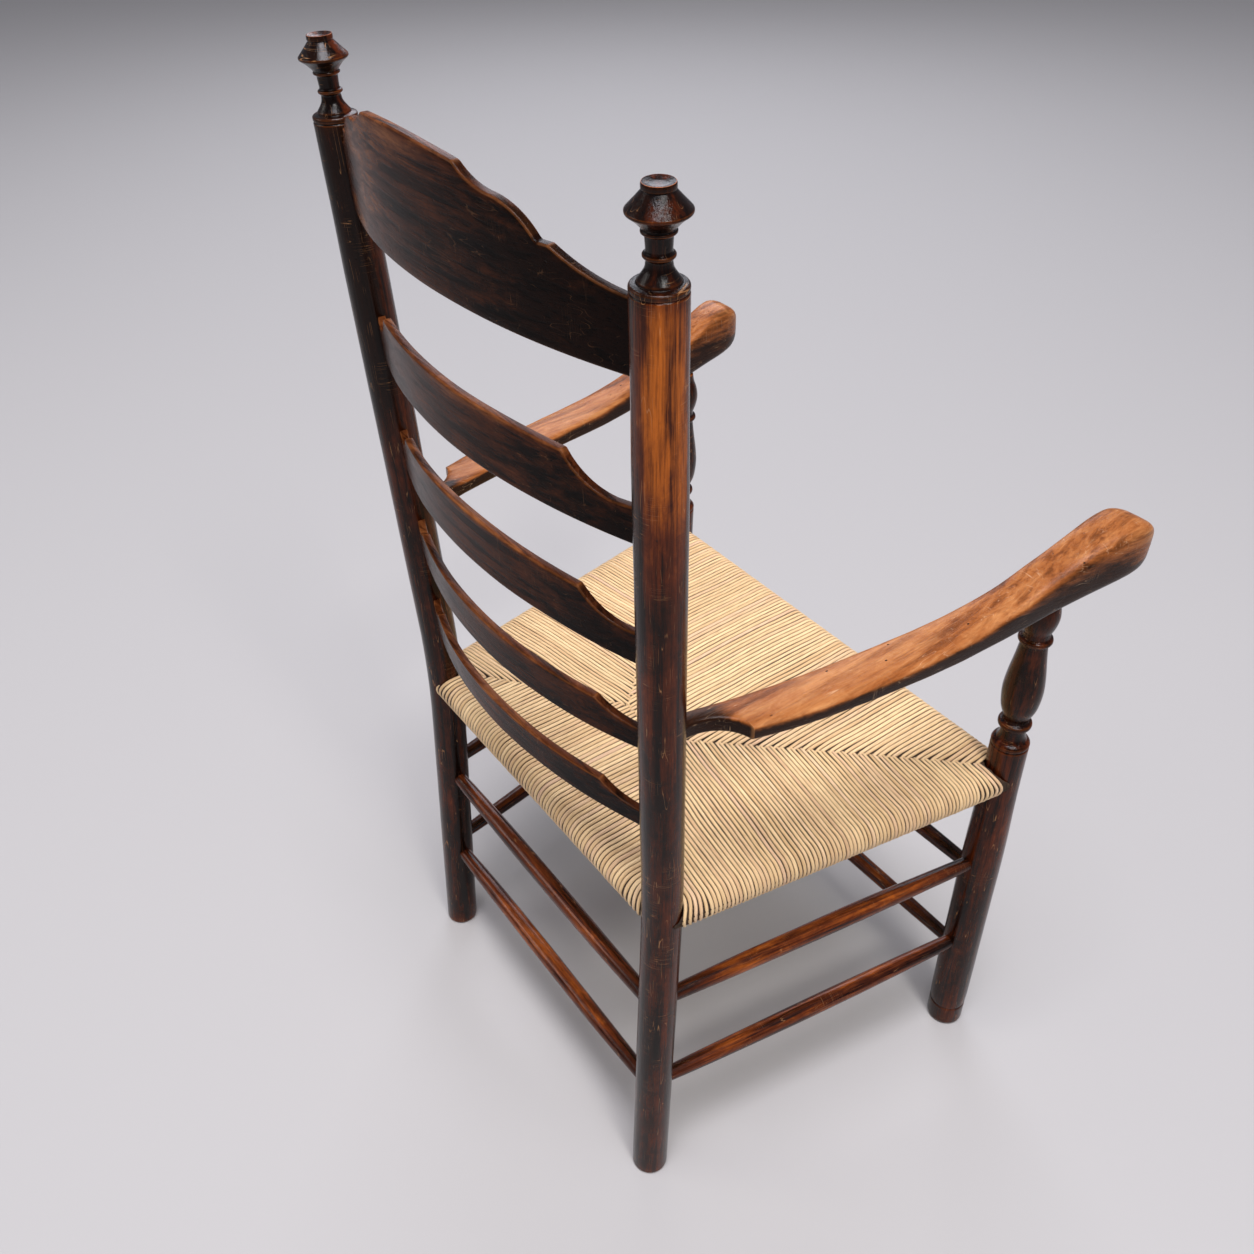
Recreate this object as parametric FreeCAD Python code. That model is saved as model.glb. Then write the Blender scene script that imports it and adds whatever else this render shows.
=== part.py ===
import FreeCAD, Part
import math
import os

# Ladderback armchair with a rush seat, in millimetres, +Z up.
# The sitter faces -Y, and the sitter's right hand is on -X.
# The origin is on the floor under the middle of the chair.
# The rear posts are turned, finial and all, and bent at seat level. The front posts are
# turned above the seat and carry the arms. Slats, rungs, rails and arms are all tenoned
# into the posts, and every mortise is cut by the piece that goes into it.

Vec = FreeCAD.Vector

# The four posts: half widths between their axes, and how they lean
rear_foot_half = 209.0
rear_seat_half = 198.5
rear_top_half = 213.0
front_foot_half = 277.0
front_arm_half = 263.5
seat_depth = 384.0           # from the rear posts' axes to the front ones, at the seat
foot_splay = 21.5            # how far the rear feet stand behind the bend
top_lean = 20.0              # how far the rear posts' tops lean back behind the bend
bend_height = 430.0
bend_blend = 70.0            # above and below the bend, where the post curves

# Rear post
rear_radius_low = 19.0       # from the floor up to the gap under the crest slat
rear_radius_top = 18.2       # from the top of that gap to the finial
rear_taper_low = 886.0
rear_taper_high = 948.0
rear_shoulder_height = 1007.0
foot_chamfer = 2.0

# Finial on the rear post, from the groove in the shoulder up: radii and heights
groove_depth = 1.1
groove_half = 0.9
shoulder_round = 3.0
shoulder_height = 6.2
bell_radius = 13.6
bell_mid_radius = 10.6
bell_mid_height = 12.4
waist_radius = 8.1
waist_height = 20.0
bead_radius = 10.2
bead_height = 27.2
bead_half = 2.6
ring_radius = 10.6
ring_height = 40.5
disc_radius = 20.0
disc_height = 54.6
rim_half = 1.0
cap_neck_radius = 8.8
cap_radius = 9.9
cap_height = 68.4
cap_half = 1.7
finial_height = 73.5
cap_top_radius = 5.0

# Front post: radii, and heights along its axis
front_foot_radius = 20.8
front_leg_radius = 21.2
front_top_radius = 19.0
foot_groove_height = 31.0
front_foot_height = 46.0      # from the foot's groove the leg widens up to here
front_taper_low = 304.0       # and thins again between these
front_taper_high = 392.0
front_shoulder_height = 457.0
post_neck_radius = 12.4
lower_ring_radius = 16.4
vase_foot_radius = 11.8
vase_radius = 19.7
vase_top_radius = 12.8
upper_ring_radius = 16.0
ball_radius = 17.4
collar_height = 5.0          # the collar over the leg's groove
cove_height = 13.5           # the cove above it, down to the neck
lower_ring_height = 485.0
vase_height = 527.0
upper_ring_height = 590.5
ball_rise = 27.5             # from the upper ring to the ball
ball_height = upper_ring_height + ball_rise
post_ring_half = 3.6
vase_ease = 1.6              # how much thinner the vase is this far below and above its thickest
vase_rise = 20.0
ball_half = 5.0
ball_lip = 2.4               # how far the ball's top stands out around the arm's tenon
arm_tenon_radius = 9.0
arm_tenon_length = 22.0

# Slats: bowed boards. Heights are those of the low edge at its ends and middle, then of
# the top edge at its ends, corners and middle; the last value is half the corners' spacing.
slat_thickness = 7.5
slat_bow = 44.0
slat_set_forward = 4.0       # the ends stand this far in front of the posts' axes
slat_end_gap = 4.5           # from a post's axis to the end of a slat
hollow_run = 42.0            # the hollow at each end reaches this far past the corner
hollow_stop = 1.0            # and stays this far off the slat's end
slat_blank_excess = 2.0      # how much taller the board is before it is sawn to its outline
lower_slats = [
    [822.0, 829.0, 854.0, 880.0, 883.5, 131.0],
    [708.0, 720.0, 741.0, 764.0, 770.5, 135.0],
    [617.0, 619.5, 640.0, 654.0, 657.0, 142.0],
    [519.0, 528.0, 540.0, 556.0, 560.5, 140.0],
]

# Crest slat: the same, with a notch and a raised ogee between the hollow and the middle
crest_low_end = 951.0
crest_low_mid = 957.5
crest_end = 1003.0
crest_notch = 1024.0
crest_waist = 1044.6
crest_peak = 1057.0
crest_mid = 1061.0
crest_notch_out_half = 146.5
crest_notch_in_half = 136.5
crest_waist_half = 98.0
crest_peak_half = 66.0

# Arms: each station gives the distance forward of the rear post's axis, how far the middle
# stands outside the line between the posts, the width, the height of the underside above
# its lowest part, and the thickness.
arm_rise = 16.0              # from the front posts' balls to the arms' lowest part
arm_height = ball_height + arm_rise
arm_length = 475.0
arm_stations = [
    [-8.0, 3.0, 33.0, 2.0, 15.0],
    [45.0, 10.5, 38.5, 2.0, 15.2],
    [110.0, 15.8, 43.0, 1.0, 15.6],
    [190.0, 16.0, 44.5, 0.0, 16.6],
    [265.0, 13.6, 42.0, 0.0, 20.5],
    [325.0, 11.6, 38.5, 3.5, 28.0],
    [370.0, 9.6, 37.5, 8.5, 37.5],
    [410.0, 8.0, 39.5, 14.0, 45.0],
    [438.0, 6.6, 42.5, 19.0, 48.0],
]
nose_start = 454.0           # from here the knuckle rounds off to the arm's length
nose_offset = 5.8
nose_width = 43.0
nose_underside = 23.0
nose_thickness = 47.0
nose_turns = [0.0, 32.0, 56.0, 74.0, 85.0]
arm_edge_cut = 3.6           # taken off the arm's long edges
nose_edge_share = 0.34       # the same at the knuckle's tip, as a share of its thickness
nose_droop = 0.42            # where the tip lies in the knuckle's thickness, from below
arm_crown = 1.4
scoop_forward = 59.5         # where the scoop cuts straight across the arm to its sharp corner
scoop_length = 42.5          # from there back to the narrow neck
scoop_width = 32.6           # how much wider the arm is there than at the neck
scoop_belly_out = 13.6       # a point on the scoop's curve, out from the neck
scoop_belly_back = 9.9       # and back from the cut across
scoop_room = 60.0            # the saw's way clear of the arm
neck_half = 8.6
neck_tenon_radius = 6.6
neck_root = 6.0              # how far the tenon starts inside the neck
neck_tenon_depth = 10.0      # stops short of the fourth slat's end

# Rungs: heights of their axes, and their size
side_upper_rung_height = 284.0
side_lower_rung_height = 149.0
rear_upper_rung_height = 270.0
rear_lower_rung_height = 136.0
front_upper_rung_height = 260.0
front_lower_rung_height = 125.0
rung_radius = 10.0
rung_quarter_radius = 9.0    # halfway from the middle to an end
rung_end_radius = 7.4
rung_tenon_depth = 15.0

# Seat rails, hidden in the rush
rail_radius = 9.5
rail_end_radius = 6.6
rail_tenon_depth = 13.0
rail_stagger = 4.0           # side rails stand this far above the rush's middle, others below
side_rail_out = 3.0          # the side rails stand this far outside the posts' axes
front_rail_in = 6.0          # the front rail stands this far behind the front posts' axes
rail_shoulder_gap = 4.0      # between a rail's shoulder and the post

# Rush seat, woven in four panels that meet in seams, over dry stuffing
seat_height = 430.5          # top of the rush where it rolls over the rails
roll_radius = 17.0
roll_facets = 10             # chords round the roll
bridge_half = 33.0           # half the short seam in the middle of the seat
bridge_forward = 132.5       # that seam, forward of the rear posts' axes
rush_clearance = 0.3         # between the rush and the posts
seam_overrun = 1.06          # the slabs reach past the middle seam, hidden under each other
seam_top_drop = 4.0          # the seams lie this far inside the rolls' top and bottom
seam_bottom_rise = 6.5
stuffing_half = 8.0
stuffing_share = 0.7         # the pads' outlines against those of their panels


def rear_axis(height, side=1):
    """Point on a rear post's bent axis; side is -1 on the sitter's right."""
    reach = height - bend_height
    if abs(reach) < bend_blend:
        share = (reach + bend_blend) / (2.0 * bend_blend)
        above = bend_blend * share * share
        below = bend_blend * (1.0 - share) * (1.0 - share)
    else:
        above = max(reach, 0.0)
        below = max(-reach, 0.0)
    low = below / bend_height
    high = above / (rear_shoulder_height - bend_height)
    x = rear_seat_half + low * (rear_foot_half - rear_seat_half)
    x += high * (rear_top_half - rear_seat_half)
    return Vec(side * x, low * foot_splay + high * top_lean, height)


def rear_radius(height):
    """Radius of a rear post at a height."""
    return rear_radius_low if height < rear_taper_low else rear_radius_top


def front_axis(height, side=1):
    """Point on a front post's straight axis."""
    share = height / arm_height
    x = front_foot_half + share * (front_arm_half - front_foot_half)
    return Vec(side * x, -seat_depth, height)


def front_radius(height):
    """Radius of a front post's leg at a height."""
    return front_leg_radius if height < front_taper_low else front_top_radius


def placed(shape, point, direction):
    """The shape, made along +Z from the origin, moved to a point and a direction."""
    turn = FreeCAD.Rotation(Vec(0, 0, 1), direction)
    moved = shape.copy()
    moved.Placement = FreeCAD.Placement(point, turn)
    return moved


def turned(start, steps):
    """A solid turned about Z, straight from one radius and height to the next. Slanted
    lines are splines, which turn into far fewer facets than cones."""
    points = [(0.0, start[1]), start] + steps + [(0.0, steps[-1][1]), (0.0, start[1])]
    edges = []
    for (radius, height), (next_radius, next_height) in zip(points[:-1], points[1:]):
        edge = Part.LineSegment(Vec(radius, 0, height), Vec(next_radius, 0, next_height))
        if radius != next_radius and height != next_height:
            edge = edge.toBSpline()
        edges.append(edge.toShape())
    return Part.Face(Part.Wire(edges)).revolve(Vec(0, 0, 0), Vec(0, 0, 1), 360)


def finial():
    """The finial with the post's shoulder under it, from the groove up."""
    top = rear_radius_top
    steps = [
        (top - groove_depth, 0.0),
        (top, groove_half),
        (top, shoulder_height - shoulder_round),
        (top - shoulder_round, shoulder_height),
        (bell_radius, shoulder_height),
        (bell_mid_radius, bell_mid_height),
        (waist_radius, waist_height),
        (waist_radius, bead_height - bead_half),
        (bead_radius, bead_height),
        (waist_radius, bead_height + bead_half),
        (ring_radius, ring_height),
        (disc_radius, disc_height - rim_half),
        (disc_radius, disc_height + rim_half),
        (cap_neck_radius, cap_height - cap_half),
        (cap_radius, cap_height - cap_half),
        (cap_radius, cap_height + cap_half),
        (cap_top_radius, finial_height),
    ]
    return turned((top, -groove_half), steps)


def rear_post():
    """The sitter's left rear post: a bent round stem with its finial."""
    foot = rear_axis(0.0)
    corner = Vec(rear_seat_half, 0, bend_height)
    shoulder = rear_axis(rear_shoulder_height)
    up = (corner - foot).normalize()
    back = (shoulder - corner).normalize()
    bend = up.getAngle(back)
    bend_radius = bend_blend / math.tan(bend / 2.0)
    toward = (back - up * up.dot(back)).normalize()
    bend_start = corner - up * bend_blend
    bend_end = corner + back * bend_blend
    disc = Part.Face(Part.Wire([Part.Circle(bend_start, up, rear_radius_low).toShape()]))
    disc.rotate(bend_start, up, 90.0)
    elbow = disc.revolve(bend_start + toward * bend_radius, up.cross(back), math.degrees(bend))
    under_floor = foot - up * foot_chamfer * 2.0
    leg = Part.makeCylinder(rear_radius_low, (bend_start - under_floor).Length, under_floor, up)
    lean = (shoulder - corner).Length / (rear_shoulder_height - bend_height)
    groove = (rear_shoulder_height - bend_height) * lean - bend_blend - groove_half
    stem = placed(turned((rear_radius_low, 0.0), [
        (rear_radius_low, (rear_taper_low - bend_height) * lean - bend_blend),
        (rear_radius_top, (rear_taper_high - bend_height) * lean - bend_blend),
        (rear_radius_top, groove),
    ]), bend_end, back)
    post = leg.fuse([elbow, stem, placed(finial(), shoulder, back)])
    return cut_at_floor(post.removeSplitter(), foot, rear_radius_low)


def cut_at_floor(post, foot, radius):
    """The post cut level with the floor, with the foot's edge taken off."""
    wide = radius * 2.0
    below = Part.makeBox(2 * wide, 2 * wide, wide, foot - Vec(wide, wide, wide))
    post = post.cut(below)
    ring = Part.makeCylinder(wide, foot_chamfer, foot)
    core = turned((radius - foot_chamfer, 0.0), [(radius + 0.2 * foot_chamfer, foot_chamfer)])
    core.translate(foot)
    return post.cut(ring.cut(core))


def front_post():
    """The sitter's left front post: a plain leg, turned above the seat, with the arm's
    tenon."""
    under = arm_underside(front_forward())
    top = front_top_radius
    steps = [
        (front_foot_radius, foot_groove_height - groove_half),
        (front_foot_radius - groove_depth, foot_groove_height),
        (front_foot_radius, foot_groove_height + groove_half),
        (front_leg_radius, front_foot_height),
        (front_leg_radius, front_taper_low),
        (top, front_taper_high),
        (top, front_shoulder_height - groove_half),
        (top - groove_depth, front_shoulder_height),
        (top, front_shoulder_height + groove_half),
        (top, front_shoulder_height + collar_height),
        (post_neck_radius, front_shoulder_height + cove_height),
        (post_neck_radius, lower_ring_height - post_ring_half),
        (lower_ring_radius, lower_ring_height),
        (vase_foot_radius, lower_ring_height + post_ring_half),
        (vase_radius - vase_ease, vase_height - vase_rise),
        (vase_radius, vase_height),
        (vase_radius - vase_ease, vase_height + vase_rise),
        (vase_top_radius, upper_ring_height - post_ring_half),
        (upper_ring_radius, upper_ring_height),
        (vase_top_radius, upper_ring_height + post_ring_half),
        (ball_radius, ball_height - ball_half),
        (ball_radius, ball_height + ball_half),
        (arm_tenon_radius + ball_lip, under),
        (arm_tenon_radius, under),
        (arm_tenon_radius, under + arm_tenon_length),
    ]
    post = turned((front_foot_radius, -2.0 * foot_chamfer), steps)
    foot = front_axis(0.0)
    post = placed(post, foot, front_axis(arm_height) - foot)
    return cut_at_floor(post, foot, front_foot_radius)


def outline_solid(edges, low_y, depth):
    """A profile in the XZ plane made into a solid between two Y planes."""
    face = Part.Face(Part.Wire(edges))
    face.translate(Vec(0, low_y, 0))
    return face.extrude(Vec(0, depth, 0))


def line(a, b):
    """A straight edge in the XZ plane."""
    return Part.LineSegment(Vec(a[0], 0, a[1]), Vec(b[0], 0, b[1])).toShape()


def arc(a, through, b):
    """An arc in the XZ plane."""
    points = [Vec(x, 0, z) for x, z in (a, through, b)]
    return Part.Arc(*points).toShape()


def half_and_mirror(points):
    """Edges for one half of an outline and its mirror image. Each row is a start, a point
    that an arc passes through, or None for a straight line, and an end."""
    edges = []
    for start, through, end in points:
        for side in (1, -1):
            a = (side * start[0], start[1])
            b = (side * end[0], end[1])
            if through is None:
                edges.append(line(a, b))
            else:
                edges.append(arc(a, (side * through[0], through[1]), b))
    return edges


def bowed_board(half, low, high):
    """A board bent to an arc in plan, between two heights."""
    y_end = -slat_set_forward
    y_mid = y_end + slat_bow
    t = slat_thickness / 2.0
    rear = Part.Arc(Vec(-half, y_end + t, 0), Vec(0, y_mid + t, 0), Vec(half, y_end + t, 0))
    front = Part.Arc(Vec(half, y_end - t, 0), Vec(0, y_mid - t, 0), Vec(-half, y_end - t, 0))
    right = Part.LineSegment(Vec(half, y_end + t, 0), Vec(half, y_end - t, 0))
    left = Part.LineSegment(Vec(-half, y_end - t, 0), Vec(-half, y_end + t, 0))
    wire = Part.Wire([rear.toShape(), right.toShape(), front.toShape(), left.toShape()])
    board = Part.Face(wire).extrude(Vec(0, 0, high - low))
    board.translate(Vec(0, 0, low))
    return board


def finished_slat(edges, half, low, high):
    """A bowed board sawn to its outline and leaned back with the posts."""
    reach = slat_bow + 2.0 * slat_thickness
    slat = bowed_board(half, low - slat_blank_excess, high + slat_blank_excess)
    slat = slat.common(outline_solid(edges, -reach, 2.0 * reach))
    lean = math.degrees(math.atan2(top_lean, rear_shoulder_height - bend_height))
    slat.rotate(Vec(0, 0, bend_height), Vec(1, 0, 0), -lean)
    return slat


def slat_half(height):
    """Half a slat's length, from the posts' spacing at its height."""
    return rear_axis(height).x - slat_end_gap


def lower_slat(row):
    """One of the four slats under the crest: a low arch with a hollow at each end."""
    low_end, low_mid, end, corner, mid, corner_half = row
    half = slat_half((low_end + end) / 2.0)
    hollow_half = min(corner_half + hollow_run, half - hollow_stop)
    hollow = (corner_half + 0.36 * (hollow_half - corner_half), corner - 0.62 * (corner - end))
    edges = [arc((-half, low_end), (0, low_mid), (half, low_end))]
    edges += half_and_mirror([
        ((half, low_end), None, (half, end)),
        ((half, end), None, (hollow_half, end)),
        ((hollow_half, end), hollow, (corner_half, corner)),
    ])
    edges.append(arc((corner_half, corner), (0, mid), (-corner_half, corner)))
    return finished_slat(Part.__sortEdges__(edges), half, min(low_end, low_mid), mid)


def crest_slat():
    """The top slat: a hollow, a notch and an ogee on each side of a raised middle."""
    half = slat_half((crest_low_end + crest_end) / 2.0)
    hollow_half = min(crest_notch_out_half + hollow_run, half - hollow_stop)
    hollow = (crest_notch_out_half + 0.34 * (hollow_half - crest_notch_out_half),
              crest_notch - 0.62 * (crest_notch - crest_end))
    belly = (0.55 * crest_notch_in_half + 0.45 * crest_waist_half,
             crest_notch + 0.72 * (crest_waist - crest_notch))
    sweep = (0.5 * crest_waist_half + 0.5 * crest_peak_half,
             crest_waist + 0.28 * (crest_peak - crest_waist))
    edges = [arc((-half, crest_low_end), (0, crest_low_mid), (half, crest_low_end))]
    edges += half_and_mirror([
        ((half, crest_low_end), None, (half, crest_end)),
        ((half, crest_end), None, (hollow_half, crest_end)),
        ((hollow_half, crest_end), hollow, (crest_notch_out_half, crest_notch)),
        ((crest_notch_out_half, crest_notch), None, (crest_notch_in_half, crest_notch)),
        ((crest_notch_in_half, crest_notch), belly, (crest_waist_half, crest_waist)),
        ((crest_waist_half, crest_waist), sweep, (crest_peak_half, crest_peak)),
    ])
    edges.append(arc((crest_peak_half, crest_peak), (0, crest_mid), (-crest_peak_half, crest_peak)))
    return finished_slat(Part.__sortEdges__(edges), half, crest_low_end, crest_mid)


def front_forward():
    """How far the front posts' axes are forward of the rear ones, at the arms."""
    return rear_axis(arm_height).y + seat_depth


def arm_underside(forward):
    """Height of the arm's underside at a distance forward of the rear post's axis."""
    for near, far in zip(arm_stations[:-1], arm_stations[1:]):
        if near[0] <= forward <= far[0]:
            share = (forward - near[0]) / (far[0] - near[0])
            return arm_height + near[3] + share * (far[3] - near[3])
    return arm_height


def arm_middle(forward, offset):
    """Half distance between the arms' middles at a distance forward."""
    share = forward / front_forward()
    line_x = rear_axis(arm_height).x
    line_x += share * (front_axis(arm_height).x - line_x)
    return line_x + offset


def arm_section(forward, middle, width, low, thick, corner, crown):
    """One cross-section of the sitter's left arm, in a plane across the chair, with its
    corners taken off and its top a little crowned."""
    y = rear_axis(arm_height).y - forward
    left = middle - width / 2.0
    right = middle + width / 2.0
    high = low + thick
    outline = [
        (left + corner, low), (right - corner, low), (right, low + corner),
        (right, high - corner), (right - corner, high), (middle, high + crown),
        (left + corner, high), (left, high - corner), (left, low + corner),
        (left + corner, low),
    ]
    return Part.makePolygon([Vec(x, y, z) for x, z in outline])


def arm_left():
    """The sitter's left arm: a flat board that sweeps up into a thick rounded knuckle."""
    sections = []
    for forward, offset, width, rise, thick in arm_stations:
        middle = arm_middle(forward, offset)
        crown = arm_crown * thick / nose_thickness
        sections.append(arm_section(forward, middle, width, arm_height + rise, thick,
                                    arm_edge_cut, crown))
    for turn in nose_turns:
        share = math.sin(math.radians(turn))
        size = math.cos(math.radians(turn))
        forward = nose_start + share * (arm_length - nose_start)
        corner = arm_edge_cut + (nose_edge_share * nose_thickness * size - arm_edge_cut) * share
        width = nose_width * size
        thick = nose_thickness * size
        low = arm_height + nose_underside + nose_droop * (nose_thickness - thick)
        middle = arm_middle(forward, nose_offset)
        sections.append(arm_section(forward, middle, width, low, thick, corner, arm_crown * size))
    arm = Part.makeLoft(sections, True, False)
    arm = arm.cut(scoop())
    return arm


def scoop():
    """What is sawn off the arm's outer side beside the rear post."""
    axis = rear_axis(arm_height)
    neck_x = axis.x + neck_half
    cross_y = axis.y - scoop_forward
    clear_x = arm_middle(scoop_forward, 0.0) + scoop_room
    clear_y = axis.y + scoop_room
    inner = Vec(neck_x, cross_y + scoop_length, 0)
    belly = Vec(neck_x + scoop_belly_out, cross_y + scoop_belly_back, 0)
    outer = Vec(neck_x + scoop_width, cross_y, 0)
    edges = [Part.Arc(inner, belly, outer).toShape()]
    corners = [outer, Vec(clear_x, cross_y, 0), Vec(clear_x, clear_y, 0), Vec(neck_x, clear_y, 0),
               inner]
    for here, there in zip(corners[:-1], corners[1:]):
        edges.append(Part.LineSegment(here, there).toShape())
    solid = Part.Face(Part.Wire(edges)).extrude(Vec(0, 0, 2.0 * scoop_room))
    solid.translate(Vec(0, 0, arm_height - scoop_room / 2.0))
    return solid


def neck_tenon():
    """The round tenon that holds the arm's neck in the rear post."""
    centre = rear_axis(arm_height + arm_stations[0][3] + arm_stations[0][4] / 2.0)
    radius = rear_radius(arm_height)
    start = centre - Vec(0, radius + neck_root, 0)
    return Part.makeCylinder(neck_tenon_radius, neck_root + neck_tenon_depth, start, Vec(0, 1, 0))


def fitted_arm(rear, front):
    """The arm, cut back to the posts that it stands between, with its rear tenon."""
    arm = arm_left().cut(rear).cut(front)
    arm = max(arm.Solids, key=lambda solid: solid.Volume)
    return arm.fuse(neck_tenon())


def rung(start, end, start_radius, end_radius):
    """A round rung between two posts' axes, swelled in the middle, with its tenons."""
    way = end - start
    last = way.Length - end_radius
    quarter = (last - start_radius) / 4.0
    steps = [(rung_end_radius, start_radius),
             (rung_quarter_radius, start_radius + quarter),
             (rung_radius, start_radius + 2.0 * quarter),
             (rung_quarter_radius, last - quarter),
             (rung_end_radius, last), (rung_end_radius, last + rung_tenon_depth)]
    return placed(turned((rung_end_radius, start_radius - rung_tenon_depth), steps), start, way)


def seat_rail(start, end, start_radius, end_radius):
    """A round seat rail between two posts' axes, with a shoulder before each tenon."""
    way = end - start
    last = way.Length - end_radius
    steps = [(rail_end_radius, start_radius + rail_shoulder_gap),
             (rail_radius, start_radius + rail_shoulder_gap),
             (rail_radius, last - rail_shoulder_gap), (rail_end_radius, last - rail_shoulder_gap),
             (rail_end_radius, last + rail_tenon_depth)]
    return placed(turned((rail_end_radius, start_radius - rail_tenon_depth), steps), start, way)


def post_rooms():
    """The room that the rush leaves for the four posts."""
    rooms = []
    for axis, radius in ((rear_axis, rear_radius_low), (front_axis, front_top_radius)):
        for side in (-1, 1):
            low = axis(seat_height - 2.0 * roll_radius, side)
            way = axis(seat_height, side) - low
            rooms.append(Part.makeCylinder(radius + rush_clearance, 2.0 * way.Length,
                                           low - way * 0.5, way))
    return rooms


def seat_corners():
    """Where the seat rails' lines meet, seen from above: rear right, rear left, front left,
    front right."""
    rear = rear_axis(seat_height - roll_radius)
    front = front_axis(seat_height - roll_radius)
    front_y = front.y + front_rail_in
    share = (rear.y - front_y) / (rear.y - front.y)
    rear_x = rear.x + side_rail_out
    front_x = rear_x + share * (front.x - rear.x)
    return [Vec(-rear_x, rear.y, 0), Vec(rear_x, rear.y, 0),
            Vec(front_x, front_y, 0), Vec(-front_x, front_y, 0)]


def prism(points, way):
    """A flat outline drawn out along a way."""
    return Part.Face(Part.makePolygon(points + points[:1])).extrude(way)


def rush_panel(start, end, reach):
    """One panel: a slab that thins from its rail towards the middle seam, reach away, and
    the roll over the rail, in roll_facets chords."""
    way = end - start
    along = Vec(way).normalize()
    inward = Vec(along.y, -along.x, 0)
    high = seat_height
    low = seat_height - 2.0 * roll_radius

    def at(distance, height):
        return start + inward * distance + Vec(0, 0, height)

    deep = reach * seam_overrun
    slab = prism([p - along * reach for p in (
        at(0, low), at(0, high),
        at(deep, high - seam_top_drop * seam_overrun),
        at(deep, low + seam_bottom_rise * seam_overrun))], way + along * 2.0 * reach)
    turns = [math.pi * step / roll_facets for step in range(roll_facets + 1)]
    roll = prism([at(-roll_radius * math.sin(turn),
                     high - roll_radius + roll_radius * math.cos(turn)) for turn in turns], way)
    return slab, roll


def rush_and_stuffing(rails):
    """The rush seat as one solid round its rails, and the dry stuffing inside it."""
    corners = seat_corners()
    bridge_y = rear_axis(seat_height - roll_radius).y - bridge_forward
    bridge = [Vec(-bridge_half, bridge_y, 0), Vec(bridge_half, bridge_y, 0)]
    inner = [bridge, [bridge[1]], bridge[::-1], [bridge[0]]]
    floor = Vec(0, 0, seat_height - 3.0 * roll_radius)
    footprint = prism([corner + floor for corner in corners], Vec(0, 0, 4.0 * roll_radius))
    pieces = []
    pads = []
    for index, middle_seam in enumerate(inner):
        start = corners[index]
        end = corners[(index + 1) % len(corners)]
        along = (end - start).normalize()
        reach = (middle_seam[0] - start).dot(Vec(along.y, -along.x, 0))
        slab, roll = rush_panel(start, end, reach)
        pieces += [slab.common(footprint), roll]
        pads.append(stuffing_pad([start, end] + middle_seam[::-1]))
    seat = pieces[0].fuse(pieces[1:]).removeSplitter()
    for solid in post_rooms() + rails + pads:
        seat = seat.cut(solid)
    return seat, Part.makeCompound(pads)


def stuffing_pad(outline):
    """A flat pad of stuffing with a panel's outline, drawn in to clear the rail and seams."""
    centre = Vec(0, 0, 0)
    for point in outline:
        centre += point * (1.0 / len(outline))
    low = Vec(0, 0, seat_height - roll_radius - stuffing_half)
    points = [centre + (point - centre) * stuffing_share + low for point in outline]
    return prism(points, Vec(0, 0, 2.0 * stuffing_half))


def mirrored(shape):
    """The same piece on the other side of the chair."""
    return shape.mirror(Vec(0, 0, 0), Vec(1, 0, 0))


def build():
    """Every piece of the chair by its node's name."""
    parts = {}
    rear = rear_post()
    front = front_post()

    slats = [crest_slat()] + [lower_slat(row) for row in lower_slats]
    slat_names = ["slat_crest", "slat_second", "slat_third", "slat_fourth", "slat_fifth"]
    parts.update(zip(slat_names, slats))

    height = seat_height - roll_radius
    for level, side_height, rear_height, front_height in (
            ("upper", side_upper_rung_height, rear_upper_rung_height,
             front_upper_rung_height),
            ("lower", side_lower_rung_height, rear_lower_rung_height,
             front_lower_rung_height)):
        for name, side in (("right", -1), ("left", 1)):
            parts["rung_" + name + "_" + level] = rung(
                rear_axis(side_height, side), front_axis(side_height, side),
                rear_radius(side_height), front_radius(side_height))
        parts["rung_rear_" + level] = rung(
            rear_axis(rear_height, -1), rear_axis(rear_height, 1),
            rear_radius(rear_height), rear_radius(rear_height))
        parts["rung_front_" + level] = rung(
            front_axis(front_height, -1), front_axis(front_height, 1),
            front_radius(front_height), front_radius(front_height))

    for name, side in (("right", -1), ("left", 1)):
        high = height + rail_stagger
        out = Vec(side * side_rail_out, 0, 0)
        parts["seat_rail_" + name] = seat_rail(
            rear_axis(high, side) + out, front_axis(high, side) + out,
            rear_radius(high), front_radius(high))
    low = height - rail_stagger
    back = Vec(0, front_rail_in, 0)
    parts["seat_rail_rear"] = seat_rail(rear_axis(low, -1), rear_axis(low, 1),
                                        rear_radius(low), rear_radius(low))
    parts["seat_rail_front"] = seat_rail(front_axis(low, -1) + back, front_axis(low, 1) + back,
                                         front_radius(low), front_radius(low))

    arm = fitted_arm(rear, front)
    parts["arm_left"] = arm
    parts["arm_right"] = mirrored(arm)

    rails = [parts["seat_rail_" + name] for name in ("front", "rear", "left", "right")]
    seat, stuffing = rush_and_stuffing(rails)
    parts["rush_seat"] = seat
    parts["seat_stuffing"] = stuffing

    for end, post in (("rear", rear), ("front", front)):
        tenoned = [shape for name, shape in parts.items()
                   if name not in ("rush_seat", "seat_stuffing")
                   and not (end == "front" and name.startswith("arm"))
                   and shape.BoundBox.intersect(post.BoundBox)]
        for shape in tenoned:
            post = post.cut(shape)
        parts[end + "_post_left"] = post
        parts[end + "_post_right"] = mirrored(post)
    return parts


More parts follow.
